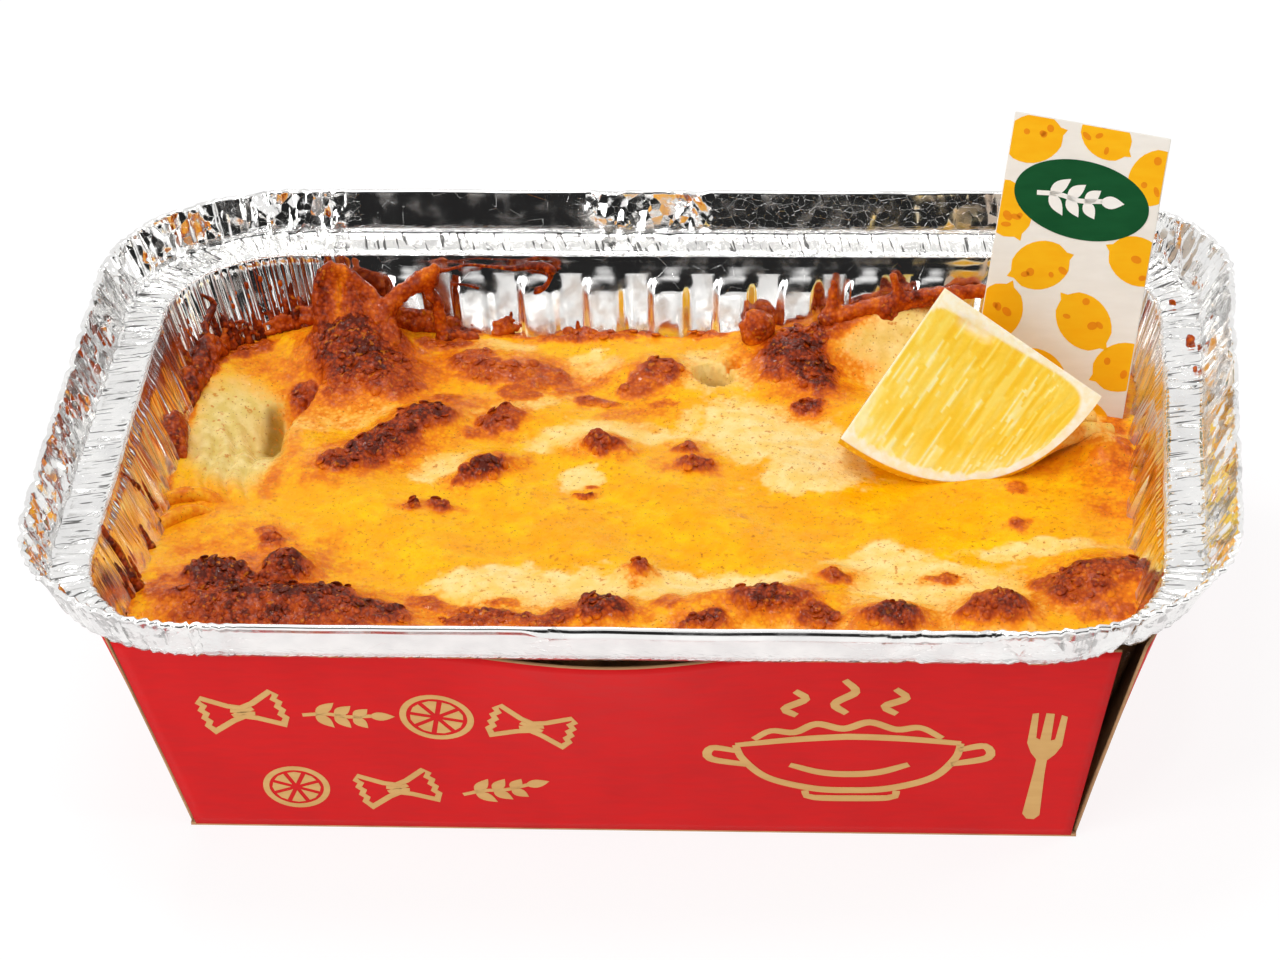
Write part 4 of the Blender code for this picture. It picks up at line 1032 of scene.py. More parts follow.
def lump_together(name, beads, voxel):
    """One closed skin round many small balls, given as rows of x, y, z and radius."""
    work = bmesh.new()
    for x, y, z, radius in beads:
        place = Matrix.Translation(Vector((x, y, z)) * MM) @ Matrix.Scale(max(radius, 0.25) * MM, 4)
        bmesh.ops.create_icosphere(work, subdivisions=2, radius=1.0, matrix=place)
    mesh = bpy.data.meshes.new(name)
    work.to_mesh(mesh)
    work.free()
    rough = bpy.data.objects.new(name, mesh)
    bpy.context.scene.collection.objects.link(rough)
    remesh = rough.modifiers.new("skin", "REMESH")
    remesh.mode = "VOXEL"
    remesh.voxel_size = voxel * MM
    smooth = rough.modifiers.new("smooth", "SMOOTH")
    smooth.factor = 0.6
    smooth.iterations = 4
    evaluated = rough.evaluated_get(bpy.context.evaluated_depsgraph_get())
    skin = bpy.data.meshes.new_from_object(evaluated)
    bpy.data.objects.remove(rough, do_unlink=True)
    count = len(skin.vertices)
    points, normals = np.zeros(count * 3), np.zeros(count * 3)
    skin.vertices.foreach_get("co", points)
    skin.vertices.foreach_get("normal", normals)
    faces = [list(face.vertices) for face in skin.polygons]
    bpy.data.meshes.remove(skin)
    return points.reshape(-1, 3) / MM, normals.reshape(-1, 3), faces


def tube_along(path, sides):
    """A closed tube along rows of x, y, z and radius."""
    line, radii = path[:, :3], path[:, 3]
    travel = np.gradient(line, axis=0)
    travel /= np.linalg.norm(travel, axis=1, keepdims=True)
    across = np.cross(travel, (0.3, 1.0, 0.2))
    across /= np.linalg.norm(across, axis=1, keepdims=True)
    over = np.cross(travel, across)
    angle = np.linspace(0, 2 * math.pi, sides, endpoint=False)
    ring = np.cos(angle)[None, :, None] * across[:, None] + np.sin(angle)[None, :, None] * over[:, None]
    points = (line[:, None] + ring * radii[:, None, None]).reshape(-1, 3)
    count = len(points)
    faces = grid_faces(len(line), sides, closed=True)
    faces += [[count, n, (n + 1) % sides] for n in range(sides)]
    faces += [[count + 1, count - sides + (n + 1) % sides, count - sides + n] for n in range(sides)]
    ends = np.array([line[0] - travel[0] * radii[0] * 0.6, line[-1] + travel[-1] * radii[-1] * 0.6])
    return np.concatenate([points, ends]), faces


def new_growth(name, inputs):
    """A Geometry Nodes tree with a geometry input, named inputs and a geometry output."""
    tree = bpy.data.node_groups.new(name, "GeometryNodeTree")
    tree.interface.new_socket(name="Geometry", in_out="INPUT", socket_type="NodeSocketGeometry")
    for socket_name, kind in inputs.items():
        tree.interface.new_socket(name=socket_name, in_out="INPUT", socket_type="NodeSocket" + kind)
    tree.interface.new_socket(name="Geometry", in_out="OUTPUT", socket_type="NodeSocketGeometry")
    bench = Bench(tree)
    return tree, bench, bench.add("NodeGroupInput").outputs, bench.add("NodeGroupOutput")


def make_blister_growth():
    """Small rounded lumps scattered on a surface, closest where its bake value is high."""
    sizes = ("Density", "From Bake", "Smallest", "Largest", "Flatness")
    tree, bench, given, out = new_growth(
        "scatter_blisters", {**{name: "Float" for name in sizes}, "Seed": "Int", "Finish": "Material"})
    over = bench.sum("MULTIPLY", bench.sum("SUBTRACT", bench.value("bake"), given["From Bake"]), 4.0)
    share = bench.add("ShaderNodeClamp", {0: over}).outputs[0]
    spots = bench.add("GeometryNodeDistributePointsOnFaces", {
        "Mesh": given["Geometry"], "Density": bench.sum("MULTIPLY", share, given["Density"]),
        "Seed": given["Seed"]}).outputs
    ball = bench.add("GeometryNodeMeshIcoSphere", {"Radius": 1.0, "Subdivisions": 2}).outputs["Mesh"]
    limits = {2: given["Smallest"], 3: given["Largest"], "Seed": given["Seed"]}
    size = bench.add("FunctionNodeRandomValue", limits, data_type="FLOAT").outputs[1]
    flat = bench.sum("MULTIPLY", size, given["Flatness"])
    scale = bench.add("ShaderNodeCombineXYZ", {0: size, 1: size, 2: flat}).outputs[0]
    balls = bench.add("GeometryNodeInstanceOnPoints", {
        "Points": spots["Points"], "Instance": ball, "Rotation": spots["Rotation"],
        "Scale": scale}).outputs[0]
    bench.give(out, bench.finished(balls, given["Finish"]))
    return tree


def make_drip_growth():
    """Round strands swept along lines, as thick at each point as its girth value."""
    tree, bench, given, out = new_growth("sweep_drips", {"Sides": "Int", "Finish": "Material"})
    lines = bench.add("GeometryNodeMeshToCurve", {"Mesh": given["Geometry"]}).outputs[0]
    inputs = {"Resolution": given["Sides"], "Radius": 1.0}
    circle = bench.add("GeometryNodeCurvePrimitiveCircle", inputs).outputs[0]
    inputs = {"Curve": lines, "Profile Curve": circle, "Scale": bench.value("girth"), "Fill Caps": True}
    swept = bench.add("GeometryNodeCurveToMesh", inputs).outputs[0]
    bench.give(out, bench.finished(swept, given["Finish"]))
    return tree


def grow(tree, mesh, **settings):
    """The points in millimetres and the faces that a Geometry Nodes tree makes of a mesh."""
    carrier = bpy.data.objects.new(mesh.name, mesh)
    bpy.context.scene.collection.objects.link(carrier)
    modifier = carrier.modifiers.new("grow", "NODES")
    modifier.node_group = tree
    for item in tree.interface.items_tree:
        if item.in_out == "INPUT" and item.name.replace(" ", "_") in settings:
            modifier[item.identifier] = settings[item.name.replace(" ", "_")]
    evaluated = carrier.evaluated_get(bpy.context.evaluated_depsgraph_get())
    grown = bpy.data.meshes.new_from_object(evaluated)
    carrier.modifiers.remove(modifier)
    bpy.data.objects.remove(carrier, do_unlink=True)
    bpy.data.meshes.remove(mesh)
    points = np.zeros(len(grown.vertices) * 3)
    grown.vertices.foreach_get("co", points)
    faces = [list(face.vertices) for face in grown.polygons]
    bpy.data.meshes.remove(grown)
    return points.reshape(-1, 3) / MM, faces


def carrier_mesh(name, points, edges, faces, values):
    """A bare mesh in metres with named values for its points."""
    mesh = bpy.data.meshes.new(name)
    mesh.from_pydata((np.asarray(points, float) * MM).tolist(), edges, faces)
    for label, numbers in values.items():
        layer = mesh.attributes.new(label, "FLOAT", "POINT")
        layer.data.foreach_set("value", np.asarray(numbers, np.float32).ravel())
    return mesh


def crust_masks(bake, least=0.0):
    """Values for crust alone: how far it is baked, with no sauce showing."""
    return {"bake": np.clip(bake, least, 1.0), "cheddar": 0 * bake + 1, "pale_and_hollow_shade": 0 * bake}


def make_blisters(growth, gratin, finish):
    """Bubbles in the browned crust, each a part of the gratin's skin."""
    count = len(gratin.data.vertices)
    points, bake = np.zeros(count * 3), np.zeros(count, np.float32)
    gratin.data.vertices.foreach_get("co", points)
    gratin.data.attributes["bake"].data.foreach_get("value", bake)
    faces = [list(face.vertices) for face in gratin.data.polygons]
    carrier = carrier_mesh("blister_bed", points.reshape(-1, 3) / MM, [], faces, {"bake": bake})
    spots, skin = grow(growth, carrier, Density=0.42e6, From_Bake=0.4, Smallest=0.3 * MM, Largest=1.0 * MM,
                       Flatness=0.3, Seed=5, Finish=finish)
    _, baked, _, _ = food_maps(spots[:, 0], spots[:, 1])
    return make_piece("crust_blisters", spots, skin, [finish], crust_masks(baked, 0.3))


def wall_place(x, y, height, inward):
    """The point of the tray's inner wall nearest to a place of the plan, at a height."""
    half, radius = wall_half(height), wall_corner(height)
    dx, dy = np.clip(x, -half[0] + radius, half[0] - radius), np.clip(y, -half[1] + radius, half[1] - radius)
    away = np.array((x - dx, y - dy))
    away = away / max(np.linalg.norm(away), 1e-6)
    return np.array((dx, dy, 0)) + np.array((*(away * (radius - inward)), height))


def wall_route(count):
    """Places round the left wall, the back left corner and the back wall, from the front left."""
    half, radius = wall_half(36.0), wall_corner(36.0)
    straight = np.stack([np.full(40, -half[0]), np.linspace(-34.0, half[1] - radius, 40)], -1)
    angle = np.linspace(math.pi, math.pi / 2, 30)
    middle = np.array((-half[0] + radius, half[1] - radius))
    bend = middle + radius * np.stack([np.cos(angle), np.sin(angle)], -1)
    back = np.stack([np.linspace(-half[0] + radius, 22.0, 60), np.full(60, half[1])], -1)
    whole = np.concatenate([straight, bend[1:], back[1:]])
    travelled = np.append(0, np.cumsum(np.linalg.norm(np.diff(whole, axis=0), axis=1)))
    wanted = np.linspace(0, travelled[-1], count)
    return np.stack([np.interp(wanted, travelled, whole[:, axis]) for axis in (0, 1)], -1)


# The longest drips, from their tops: x, y, height and radius.
DRIPS = (
    ((-83, -28.6, 45.6, 0.5), (-83, -28.9, 43, 0.9), (-83, -28.2, 40, 1.2), (-83, -28.8, 37, 1.3),
     (-83, -28.4, 33, 1.6)),
    ((-83, -31.4, 41, 0.3), (-83, -31.0, 38.5, 0.7), (-83, -31.6, 36, 0.8), (-83, -31.2, 33, 0.9)),
    ((-83, -10.8, 44.6, 0.3), (-83, -9.6, 42, 0.8), (-83, -8.4, 39.5, 1.0), (-83, -8.8, 36.5, 0.8),
     (-83, -8.2, 33, 1.2)),
    ((-83, -4.6, 41, 0.25), (-83, -5.4, 38.5, 0.6), (-83, -5.2, 34, 0.9)),
    ((-78, 48, 43.0, 0.2), (-77, 49, 40.6, 0.6), (-79.5, 46.6, 38.0, 0.8), (-80.5, 45, 34.0, 1.1)),
    ((-66, 57, 41.5, 0.2), (-66.4, 57, 39.6, 0.5), (-66.0, 57, 36, 0.9), (-66, 57, 33, 1.2)),
)
SHORT_DRIPS = 46


def make_wall_drips(growth, finish):
    """Sauce that ran and baked in strands on the tray's wall above the food."""
    rng = np.random.default_rng(17)
    route = wall_route(400)
    lines = list(DRIPS)
    for _ in range(SHORT_DRIPS):
        station = int(rng.uniform(140, 300) if rng.random() < 0.62 else rng.uniform(10, 390))
        x, y = route[station]
        tall, wide = rng.uniform(1.0, 5.5), rng.uniform(0.3, 0.85)
        sway = rng.uniform(-1.2, 1.2)
        lines.append([
            (x + sway * 0.2, y + sway * 0.2, 34.6 + tall, wide * 0.3), (x, y, 34.6 + tall * 0.6, wide * 0.8),
            (x, y, 34.2, wide), (x, y, 32.2, wide * 1.3)])
    points, edges, girth = [], [], []
    for line in lines:
        path = smooth_path([(spot[:3], spot[3]) for spot in line], 0.6)
        start = len(points)
        for number, (x, y, z, radius) in enumerate(path):
            points.append(wall_place(x, y, z, 0.3 * radius + 0.1))
            girth.append(radius * (0.85 + 0.3 * rng.random()) * MM)
            if number:
                edges.append((start + number - 1, start + number))
    carrier = carrier_mesh("drip_lines", points, edges, [], {"girth": girth})
    spots, skin = grow(growth, carrier, Sides=8, Finish=finish)
    bake = 0.5 + 0.6 * clouds(spots[:, 0] + spots[:, 1], spots[:, 2], 3.0, 163)
    return make_piece("wall_drips", spots, skin, [finish], crust_masks(bake))


def make_wall_splashes(growth, finish):
    """Spatters baked on the tray's wall, closest above the food."""
    route = wall_route(240)
    heights = np.arange(33.0, 46.0, 0.8)
    points = np.array([[wall_place(x, y, z, 0.05) for x, y in route] for z in heights]).reshape(-1, 3)
    faces = [list(reversed(face)) for face in grid_faces(len(heights), len(route))]
    along = np.tile(np.arange(len(route)), len(heights))
    patchy = clouds(along * 1.0, points[:, 2] * 2.0, 9.0, 167, 2)
    nearness = 1 - ease(33.5, 44.0, points[:, 2] + 9.0 * (0.55 - patchy))
    values = {"bake": nearness * ease(0.36, 0.7, patchy)}
    carrier = carrier_mesh("splash_bed", points, [], faces, values)
    spots, skin = grow(growth, carrier, Density=0.9e6, From_Bake=0.12, Smallest=0.12 * MM, Largest=0.75 * MM,
                       Flatness=0.45, Seed=9, Finish=finish)
    bake = 0.34 + 0.6 * clouds(spots[:, 0] + spots[:, 1], spots[:, 2], 4.0, 173)
    return make_piece("wall_splashes", spots, skin, [finish], crust_masks(bake))


def make_crust(finish):
    rng = np.random.default_rng(7)
    beads = []
    route = wall_route(150)
    ragged = clouds(np.arange(150) * 1.0, np.zeros(150), 7.0, 181)
    for number in range(38, 112):
        x, y = route[number]
        radius = 0.5 + 2.2 * max(0.0, ragged[number] - 0.3)
        height = 33.6 + 3.4 * ragged[(number * 3) % 150]
        beads.append((*wall_place(x, y, height, 0.7 * radius), radius))
        beads.append((*wall_place(x, y, height - 1.4, radius), radius * 1.1))
    for points in STRANDS.values():
        for x, y, z, radius in smooth_path(points):
            beads.append((x, y, z, radius))
            if radius > 1.3:
                for _ in range(3):
                    aim = rng.normal(size=3)
                    aim /= np.linalg.norm(aim)
                    spot = np.array((x, y, z)) + aim * radius * 0.8
                    beads.append((*spot, rng.uniform(0.25, 0.42) * radius))
    points, normals, faces = lump_together("crust_strands", beads, 0.36)
    near, _, _ = cells(points[:, 0] + points[:, 1], points[:, 2], 1.5, 141)
    points = points + normals * (0.35 * np.clip(1 - near * 1.3, 0, 1) - 0.1)[:, None]
    bake = 0.52 + 0.75 * (clouds(points[:, 0] + 3, points[:, 2] - points[:, 1], 3.0, 143) - 0.4)
    for thread in THREADS.values():
        spots, skin = tube_along(smooth_path(thread, 0.35), 8)
        faces += [[number + len(points) for number in face] for face in skin]
        points = np.concatenate([points, spots])
        bake = np.concatenate([bake, np.full(len(spots), 0.85)])
    strands = make_piece("crust_strands", points, faces, [finish], crust_masks(bake, 0.3))
    turn_outward(strands)
    return strands


PASTA_ENDS = (
    (((59, 15.5, 32.5), 1.6), ((63, 18.0, 35.2), 1.8), ((68, 21.0, 36.0), 1.8), ((74, 24.5, 34.6), 1.6)),
    (((61, 12.5, 32.0), 1.5), ((66, 15.5, 34.6), 1.7), ((72, 19.0, 35.2), 1.7), ((77, 22.0, 33.5), 1.5)),
    (((-83, -1, 31.0), 1.3), ((-79, 0.5, 32.6), 1.5), ((-74.5, 1.0, 32.6), 1.5), ((-70, -0.5, 30.6), 1.4)),
    (((-82, -9, 31.0), 1.3), ((-78.5, -5.5, 32.4), 1.4), ((-75, -3.6, 32.4), 1.3), ((-71, -3.5, 30.6), 1.3)),
)


def make_pasta_ends(finish):
    """Ends of pasta tubes that show through the cheese at the tray's sides."""
    points, faces = [], []
    for route in PASTA_ENDS:
        spots, skin = tube_along(smooth_path(route, 0.4), 16)
        start = sum(len(part) for part in points)
        faces += [[number + start for number in face] for face in skin]
        points.append(spots)
    points = np.concatenate(points)
    x, y, z = points.T
    bake = np.where(x < 0, 0.1, 0.02) + 0.2 * clouds(x, y + z, 2.0, 183)
    masks = {"bake": bake, "cheddar": np.where(x < 0, 0.8, 0.5), "pale_and_hollow_shade": np.where(x < 0, 0.0, 0.6)}
    ends = make_piece("pasta_ends", points, faces, [finish], masks)
    turn_outward(ends)
    return ends


# Lemon

def lemon_radius(length):
    """The lemon's radius at a distance from its middle."""
    left = np.clip(1 - (length / LEMON_HALF_LENGTH) ** LEMON_FULLNESS, 0, 1)
    return LEMON_RADIUS * left ** (1 / LEMON_FULLNESS)


def make_lemon(finish):
    face_steps, arc_steps, back_steps, edge_steps, length_steps = 104, 34, 34, 4, 104
    k = np.linspace(0, 1, length_steps + 1)[:-1]
    length = LEMON_HALF_LENGTH * np.sin(k * math.pi / 2)
    radius = lemon_radius(length)
    low, high = np.zeros_like(radius), np.full_like(radius, math.pi / 2)
    for _ in range(40):
        middle = (low + high) / 2
        over = radius * np.sin(middle) > LEMON_EDGE + radius * np.cos(middle) * math.tan(LEMON_WEDGE)
        low, high = np.where(over, low, middle), np.where(over, middle, high)
    spread = (low + high) / 2
    share = np.linspace(0, 1, face_steps)[None, :]
    face_z = -(radius[:, None] - LEMON_CHAMFER * np.clip(radius[:, None] / 6, 0, 1)) * share
    shares = np.linspace(0, 1, arc_steps + 1)[None, 1:]
    arc = spread[:, None] * (0.25 * shares + 0.75 * shares ** 2.2)
    chamfer = LEMON_CHAMFER * np.clip(1 - arc * LEMON_RADIUS / 1.1, 0, 1) * np.clip(radius[:, None] / 6, 0, 1)
    arc_y, arc_z = radius[:, None] * np.sin(arc), -(radius[:, None] - chamfer) * np.cos(arc)
    back = np.linspace(1, 0, back_steps + 1)[None, 1:]
    back_y = LEMON_EDGE + (arc_y[:, -1:] - LEMON_EDGE) * back
    back_z = arc_z[:, -1:] * back
    edge = np.linspace(1, 0, edge_steps + 1)[None, 1:-1]
    edge_y = LEMON_EDGE * edge + 0 * radius[:, None]
    y = np.concatenate([0 * face_z, arc_y, back_y, edge_y], 1)
    z = np.concatenate([face_z, arc_z, back_z, 0 * edge_y], 1)
    x = length[:, None] + 0 * y
    rows, columns = x.shape
    tip = np.array([[LEMON_HALF_LENGTH, 0.1, -0.1]])
    loop = np.stack([x, y, z], -1)
    centre = np.array((0.0, LEMON_EDGE / 2 + 4.2, -LEMON_RADIUS * 0.55))
    caps = [loop[0] + (centre - loop[0]) * pull for pull in LEMON_END_STEPS]
    layers = np.concatenate([np.array(caps), loop])
    points = layers.reshape(-1, 3)
    faces = grid_faces(len(layers), columns, closed=True)
    count = len(points)
    faces += [[count, (n + 1) % columns, n] for n in range(columns)]
    start = (len(layers) - 1) * columns
    faces += [[count + 1, start + n, start + (n + 1) % columns] for n in range(columns)]
    points = np.concatenate([points, [centre], tip])
    px, py, pz = points.T
    around = np.hypot(py, pz)
    depth = lemon_radius(np.abs(px)) - around
    fan = px + 0.16 * (px - 13) * around / 20 + 0.5 * clouds(px, pz, 9.0, 151, 2)
    near, second, number = cells(fan / 1.15, pz / 9.5, 1.0, 153)
    _, _, fine_number = cells(fan / 0.42, pz / 6.0, 1.0, 155)
    groove = np.clip((second - near) / 0.3, 0, 1)
    scallop = 0.55 * np.abs(np.sin(fan * 1.25)) + 0.4 * (number - 0.5)
    from_core = around - 4.4 + 2.6 * (px / LEMON_HALF_LENGTH) ** 0.8
    from_arc = depth - 3.7 - scallop
    from_left = 3.2 * (px - 0.5)
    from_right = 0.9 * (LEMON_HALF_LENGTH - 3.0 - px)
    edges = (from_core, from_arc, from_left, from_right)
    inside = -2.0 * np.log(sum(np.exp(-np.clip(part, -9, 20) / 2.0) for part in edges))
    on_face = py < 0.01
    on_end = np.append(np.repeat(np.arange(len(layers)) < len(caps), columns), (True, False))
    from_back = (LEMON_EDGE - pz * math.tan(LEMON_WEDGE) - py) * math.cos(LEMON_WEDGE)
    from_border = np.minimum(np.minimum(around - 3.0, depth - 2.8), np.minimum(py - 0.5, from_back - 0.5))
    _, _, end_number = cells(around / 4.0, np.arctan2(py, -pz) * 9.0, 1.0, 157)
    number = np.where(on_end, end_number, number)
    flesh = np.where(on_end, ease(-0.1, 0.5, from_border), ease(-1.7, -1.1, inside))
    recess = np.exp(-((px - 8.2) / 3.0) ** 4 - ((around - 3.1 + 0.05 * px) / 0.9) ** 2) * on_face
    # Painted highlight: thin light streaks along the flesh.
    highlight_streak = ease(0.8, 0.95, fine_number)
    lighter = 0.3 * (1 - ease(0, 5, depth - 3.6)) + 0.2 * (1 - ease(0, 8, px))
    tone = 0.16 + 0.34 * number + 0.24 * (1 - groove) + 0.5 * highlight_streak + lighter
    others = np.zeros(back_steps + edge_steps - 1)
    columns_kind = np.concatenate([np.zeros(face_steps), np.ones(arc_steps), others])
    on_rind = np.append(np.tile(columns_kind, len(layers)), (0, 1))
    zest = np.where(on_rind > 0.5, 1.0, np.where(on_face, 0.0, 1 - ease(0.35, 0.8, depth)))
    swell = flesh * (0.08 * (1 - groove) - 0.06 * (number - 0.5) - 0.06 * highlight_streak) + 0.55 * recess
    points[:, 1] += np.where(on_face, swell, 0.0)
    world = placed(points, LEMON_MIDDLE, LEMON_TURNS)
    masks = {"flesh": flesh * (1 - 0.75 * recess), "zest": zest, "tone": np.clip(tone, 0, 1)}
    lemon = make_piece("lemon_wedge_cut", world, faces, [finish], masks)
    turn_outward(lemon)
    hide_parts("lemon_wedge")
    return lemon


# Board sleeve

PANEL_SEEDS = {"front": 201, "back": 203, "left": 205, "right": 207}


def panel_plan(panel, span, part):
    """A point of a panel's outline plane: span runs from -1 to 1 across it, part from 0 to 1 up it."""
    inner = SLEEVE_HALF - SLIT
    if panel in ("front", "back"):
        side = -1 if panel == "front" else 1
        x = (inner[0] + (PANEL_TOP_HALF - inner[0]) * part) * span
        bow = FRONT_BOW * np.maximum(0, 1 - (x / FRONT_BOW_SPAN) ** 2) ** 2 * part ** 3 if side < 0 else 0.0
        y = side * (SLEEVE_HALF[1] + (PANEL_TOP_REACH - SLEEVE_HALF[1]) * part + bow)
        dip = FRONT_DIP * np.maximum(0, 1 - ((x + 5.0) / FRONT_DIP_SPAN) ** 2) if side < 0 else 0.0
        return np.stack([x, y, (PANEL_HEIGHT - dip) * part + 0 * x], -1)
    side = -1 if panel == "left" else 1
    y = (inner[1] + (END_TOP_HALF - inner[1]) * part) * span
    beyond = np.maximum(0, np.abs(span) * END_TOP_HALF - END_FLAT_HALF) / (END_TOP_HALF - END_FLAT_HALF)
    top = END_TOP_MIDDLE + (END_TOP_EDGE[side] - END_TOP_MIDDLE) * beyond ** 2
    x = side * (SLEEVE_HALF[0] + (top - SLEEVE_HALF[0]) * part)
    return np.stack([x, y, PANEL_HEIGHT * part + 0 * y], -1)


def panel_skin(panel, span, part):
    """Points of a panel's outer face, slightly wavy, and the directions that it faces."""
    here = panel_plan(panel, span, part)
    travel = panel_plan(panel, span + 0.01, part) - panel_plan(panel, span - 0.01, part)
    climb = panel_plan(panel, span, part + 0.01) - panel_plan(panel, span, part - 0.01)
    facing = np.cross(travel, climb)
    facing /= np.linalg.norm(facing, axis=-1, keepdims=True)
    if (facing * here)[..., :2].sum() < 0:
        facing = -facing
    wave = 0.5 * clouds(span * 40, part * 30, 16.0, PANEL_SEEDS[panel], 2) * ease(0.0, 0.3, part)
    return here - facing * (0.08 + 0.3 * wave)[..., None], facing


def make_sleeve(red, kraft):
    for panel in ("front", "back", "left", "right"):
        columns, rows = (81, 25) if panel in ("front", "back") else (41, 25)
        span, part = np.meshgrid(np.linspace(-1, 1, columns), np.linspace(0, 1, rows))
        outside, facing = panel_skin(panel, span, part)
        inside = outside - facing * (BOARD - 0.08)
        points = np.concatenate([outside.reshape(-1, 3), inside.reshape(-1, 3)])
        shift = rows * columns
        skin = grid_faces(rows, columns)
        border = border_of(rows, columns)
        following = np.roll(border, -1)
        faces = skin + [[number + shift for number in reversed(face)] for face in skin]
        faces += np.stack([border, following, following + shift, border + shift], -1).tolist()
        kinds = [0] * len(skin) + [1] * (len(faces) - len(skin))
        thing = make_piece("sleeve_" + panel, points, faces, [red, kraft], None, kinds)
        turn_outward(thing)
    work = bmesh.new()
    bmesh.ops.create_grid(work, x_segments=24, y_segments=16, size=1.0)
    bmesh.ops.scale(work, verts=work.verts, vec=(SLEEVE_HALF[0], SLEEVE_HALF[1], 1.0))
    base = np.array([vert.co[:] for vert in work.verts])
    sheet = [[vert.index for vert in face.verts] for face in work.faces]
    border = [(edge.verts[0].index, edge.verts[1].index) for edge in work.edges if edge.is_boundary]
    work.free()
    count = len(base)
    sag = 0.12 * clouds(base[:, 0], base[:, 1], 30.0, 211, 2)
    upper = base + np.stack([0 * sag, 0 * sag, BOARD - sag], -1)
    floor_faces = sheet + [[number + count for number in reversed(face)] for face in sheet]
    floor_faces += [[a, b, b + count, a + count] for a, b in border]
    points = np.concatenate([base, upper])
    turn_outward(make_piece("sleeve_floor", points, floor_faces, [kraft], smooth=False))
    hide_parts("card_sleeve")


# Printed motifs: flat outlines in millimetres, x to the right and y up

def curve_through(points, closed=False, every=0.7):
    """A smooth flat line through points."""
    return smooth_line(np.array(points, float), every, closed)


def stroke(points, width, closed=False, taper=0.0):
    """The outline faces of a pen line: points and faces."""
    line = np.asarray(points, float)
    if closed:
        travel = np.roll(line, -1, 0) - np.roll(line, 1, 0)
    else:
        travel = np.gradient(line, axis=0)
    travel /= np.linalg.norm(travel, axis=1, keepdims=True)
    across = np.stack([-travel[:, 1], travel[:, 0]], -1)
    along = np.linspace(0, 1, len(line))
    half = width / 2 * (1 - taper * np.abs(2 * along - 1) ** 3)
    left, right = line + across * half[:, None], line - across * half[:, None]
    count = len(line)
    spots = np.vstack([left, right])
    last = count if closed else count - 1
    faces = [[n, n + count, (n + 1) % count + count, (n + 1) % count] for n in range(last)]
    return spots, faces


def clip_to(outline, low, high):
    """The part of an outline inside an upright rectangle."""
    kept = [tuple(spot) for spot in outline]
    for axis, limit, sign in ((0, low[0], 1), (0, high[0], -1), (1, low[1], 1), (1, high[1], -1)):
        source, kept = kept, []
        for number, spot in enumerate(source):
            before = source[number - 1]
            inside, was_inside = sign * (spot[axis] - limit) >= 0, sign * (before[axis] - limit) >= 0
            if inside != was_inside:
                t = (limit - before[axis]) / (spot[axis] - before[axis])
                kept.append(tuple(before[k] + (spot[k] - before[k]) * t for k in (0, 1)))
            if inside:
                kept.append(spot)
    return kept


def fill(outline):
    """Triangles that fill an outline: points and faces."""
    spots = np.array(outline, float)
    triangles = tessellate_polygon([[Vector((x, y, 0)) for x, y in outline]])
    return spots, [list(face) for face in triangles]


def shifted(points, place, turn=0.0, size=1.0):
    angle = math.radians(turn)
    spin = np.array(((math.cos(angle), -math.sin(angle)), (math.sin(angle), math.cos(angle))))
    return np.asarray(points, float) * size @ spin.T + np.array(place)


def oval(width, height, steps=40):
    angle = np.linspace(0, 2 * math.pi, steps, endpoint=False)
    return np.stack([width / 2 * np.cos(angle), height / 2 * np.sin(angle)], -1)


def leaf(length, width):
    part = np.linspace(0, 1, 9)
    side = width / 2 * np.sin(math.pi * part ** 0.8)
    upper = np.stack([part * length, side], -1)
    return np.vstack([upper, upper[-2:0:-1] * (1, -1)])


def make_print(name, shapes, surface, finish, height=0.05, depth=0.06):
    """Thin closed plates on a surface. surface maps flat points to points and facings."""
    points, faces = [], []
    total = 0
    for spots, triangles in shapes:
        here, facing = surface(spots)
        count = len(spots)
        points += [here + facing * height, here - facing * depth]
        edges = {}
        for face in triangles:
            for a, b in zip(face, face[1:] + face[:1]):
                edges[a, b] = edges.get((a, b), 0) + 1
        faces += [[total + n for n in face] for face in triangles]
        faces += [[total + count + n for n in reversed(face)] for face in triangles]
        border = [(total + a, total + b) for a, b in edges if (b, a) not in edges]
        faces += [[b, a, a + count, b + count] for a, b in border]
        total += 2 * count
    thing = make_piece(name, np.concatenate(points), faces, [finish], smooth=False)
    turn_outward(thing)
    return thing


PANEL_SLANT = math.hypot(PANEL_HEIGHT, PANEL_TOP_REACH - SLEEVE_HALF[1])


def front_panel(spots):
    part = spots[:, 1] / PANEL_SLANT
    inner = SLEEVE_HALF[0] - SLIT
    return panel_skin("front", spots[:, 0] / (inner + (PANEL_TOP_HALF - inner) * part), part)


def bow_tie_pasta(place, turn, size, pen):
    """A pinched piece of pasta with toothed ends, drawn as a line with two folds."""
    right = [(0.0, 0.9), (1.6, 1.5), (4.6, 3.6), (5.1, 2.7), (4.6, 2.0), (5.2, 1.2), (4.7, 0.4), (5.2, -0.4),
             (4.7, -1.2), (5.2, -2.0), (4.8, -2.7), (4.9, -3.5), (1.6, -1.5), (0.0, -0.9)]
    outline = right + [(-x, y) for x, y in reversed(right)][1:-1]
    shapes = [stroke(shifted(outline, place, turn, size), pen, closed=True)]
    for fold in (((-1.5, 0.55), (0, 0.15), (1.5, 0.55)), ((-1.5, -0.55), (0, -0.2), (1.5, -0.55))):
        shapes.append(stroke(shifted(curve_through(fold), place, turn, size), pen * 0.8))
    return shapes


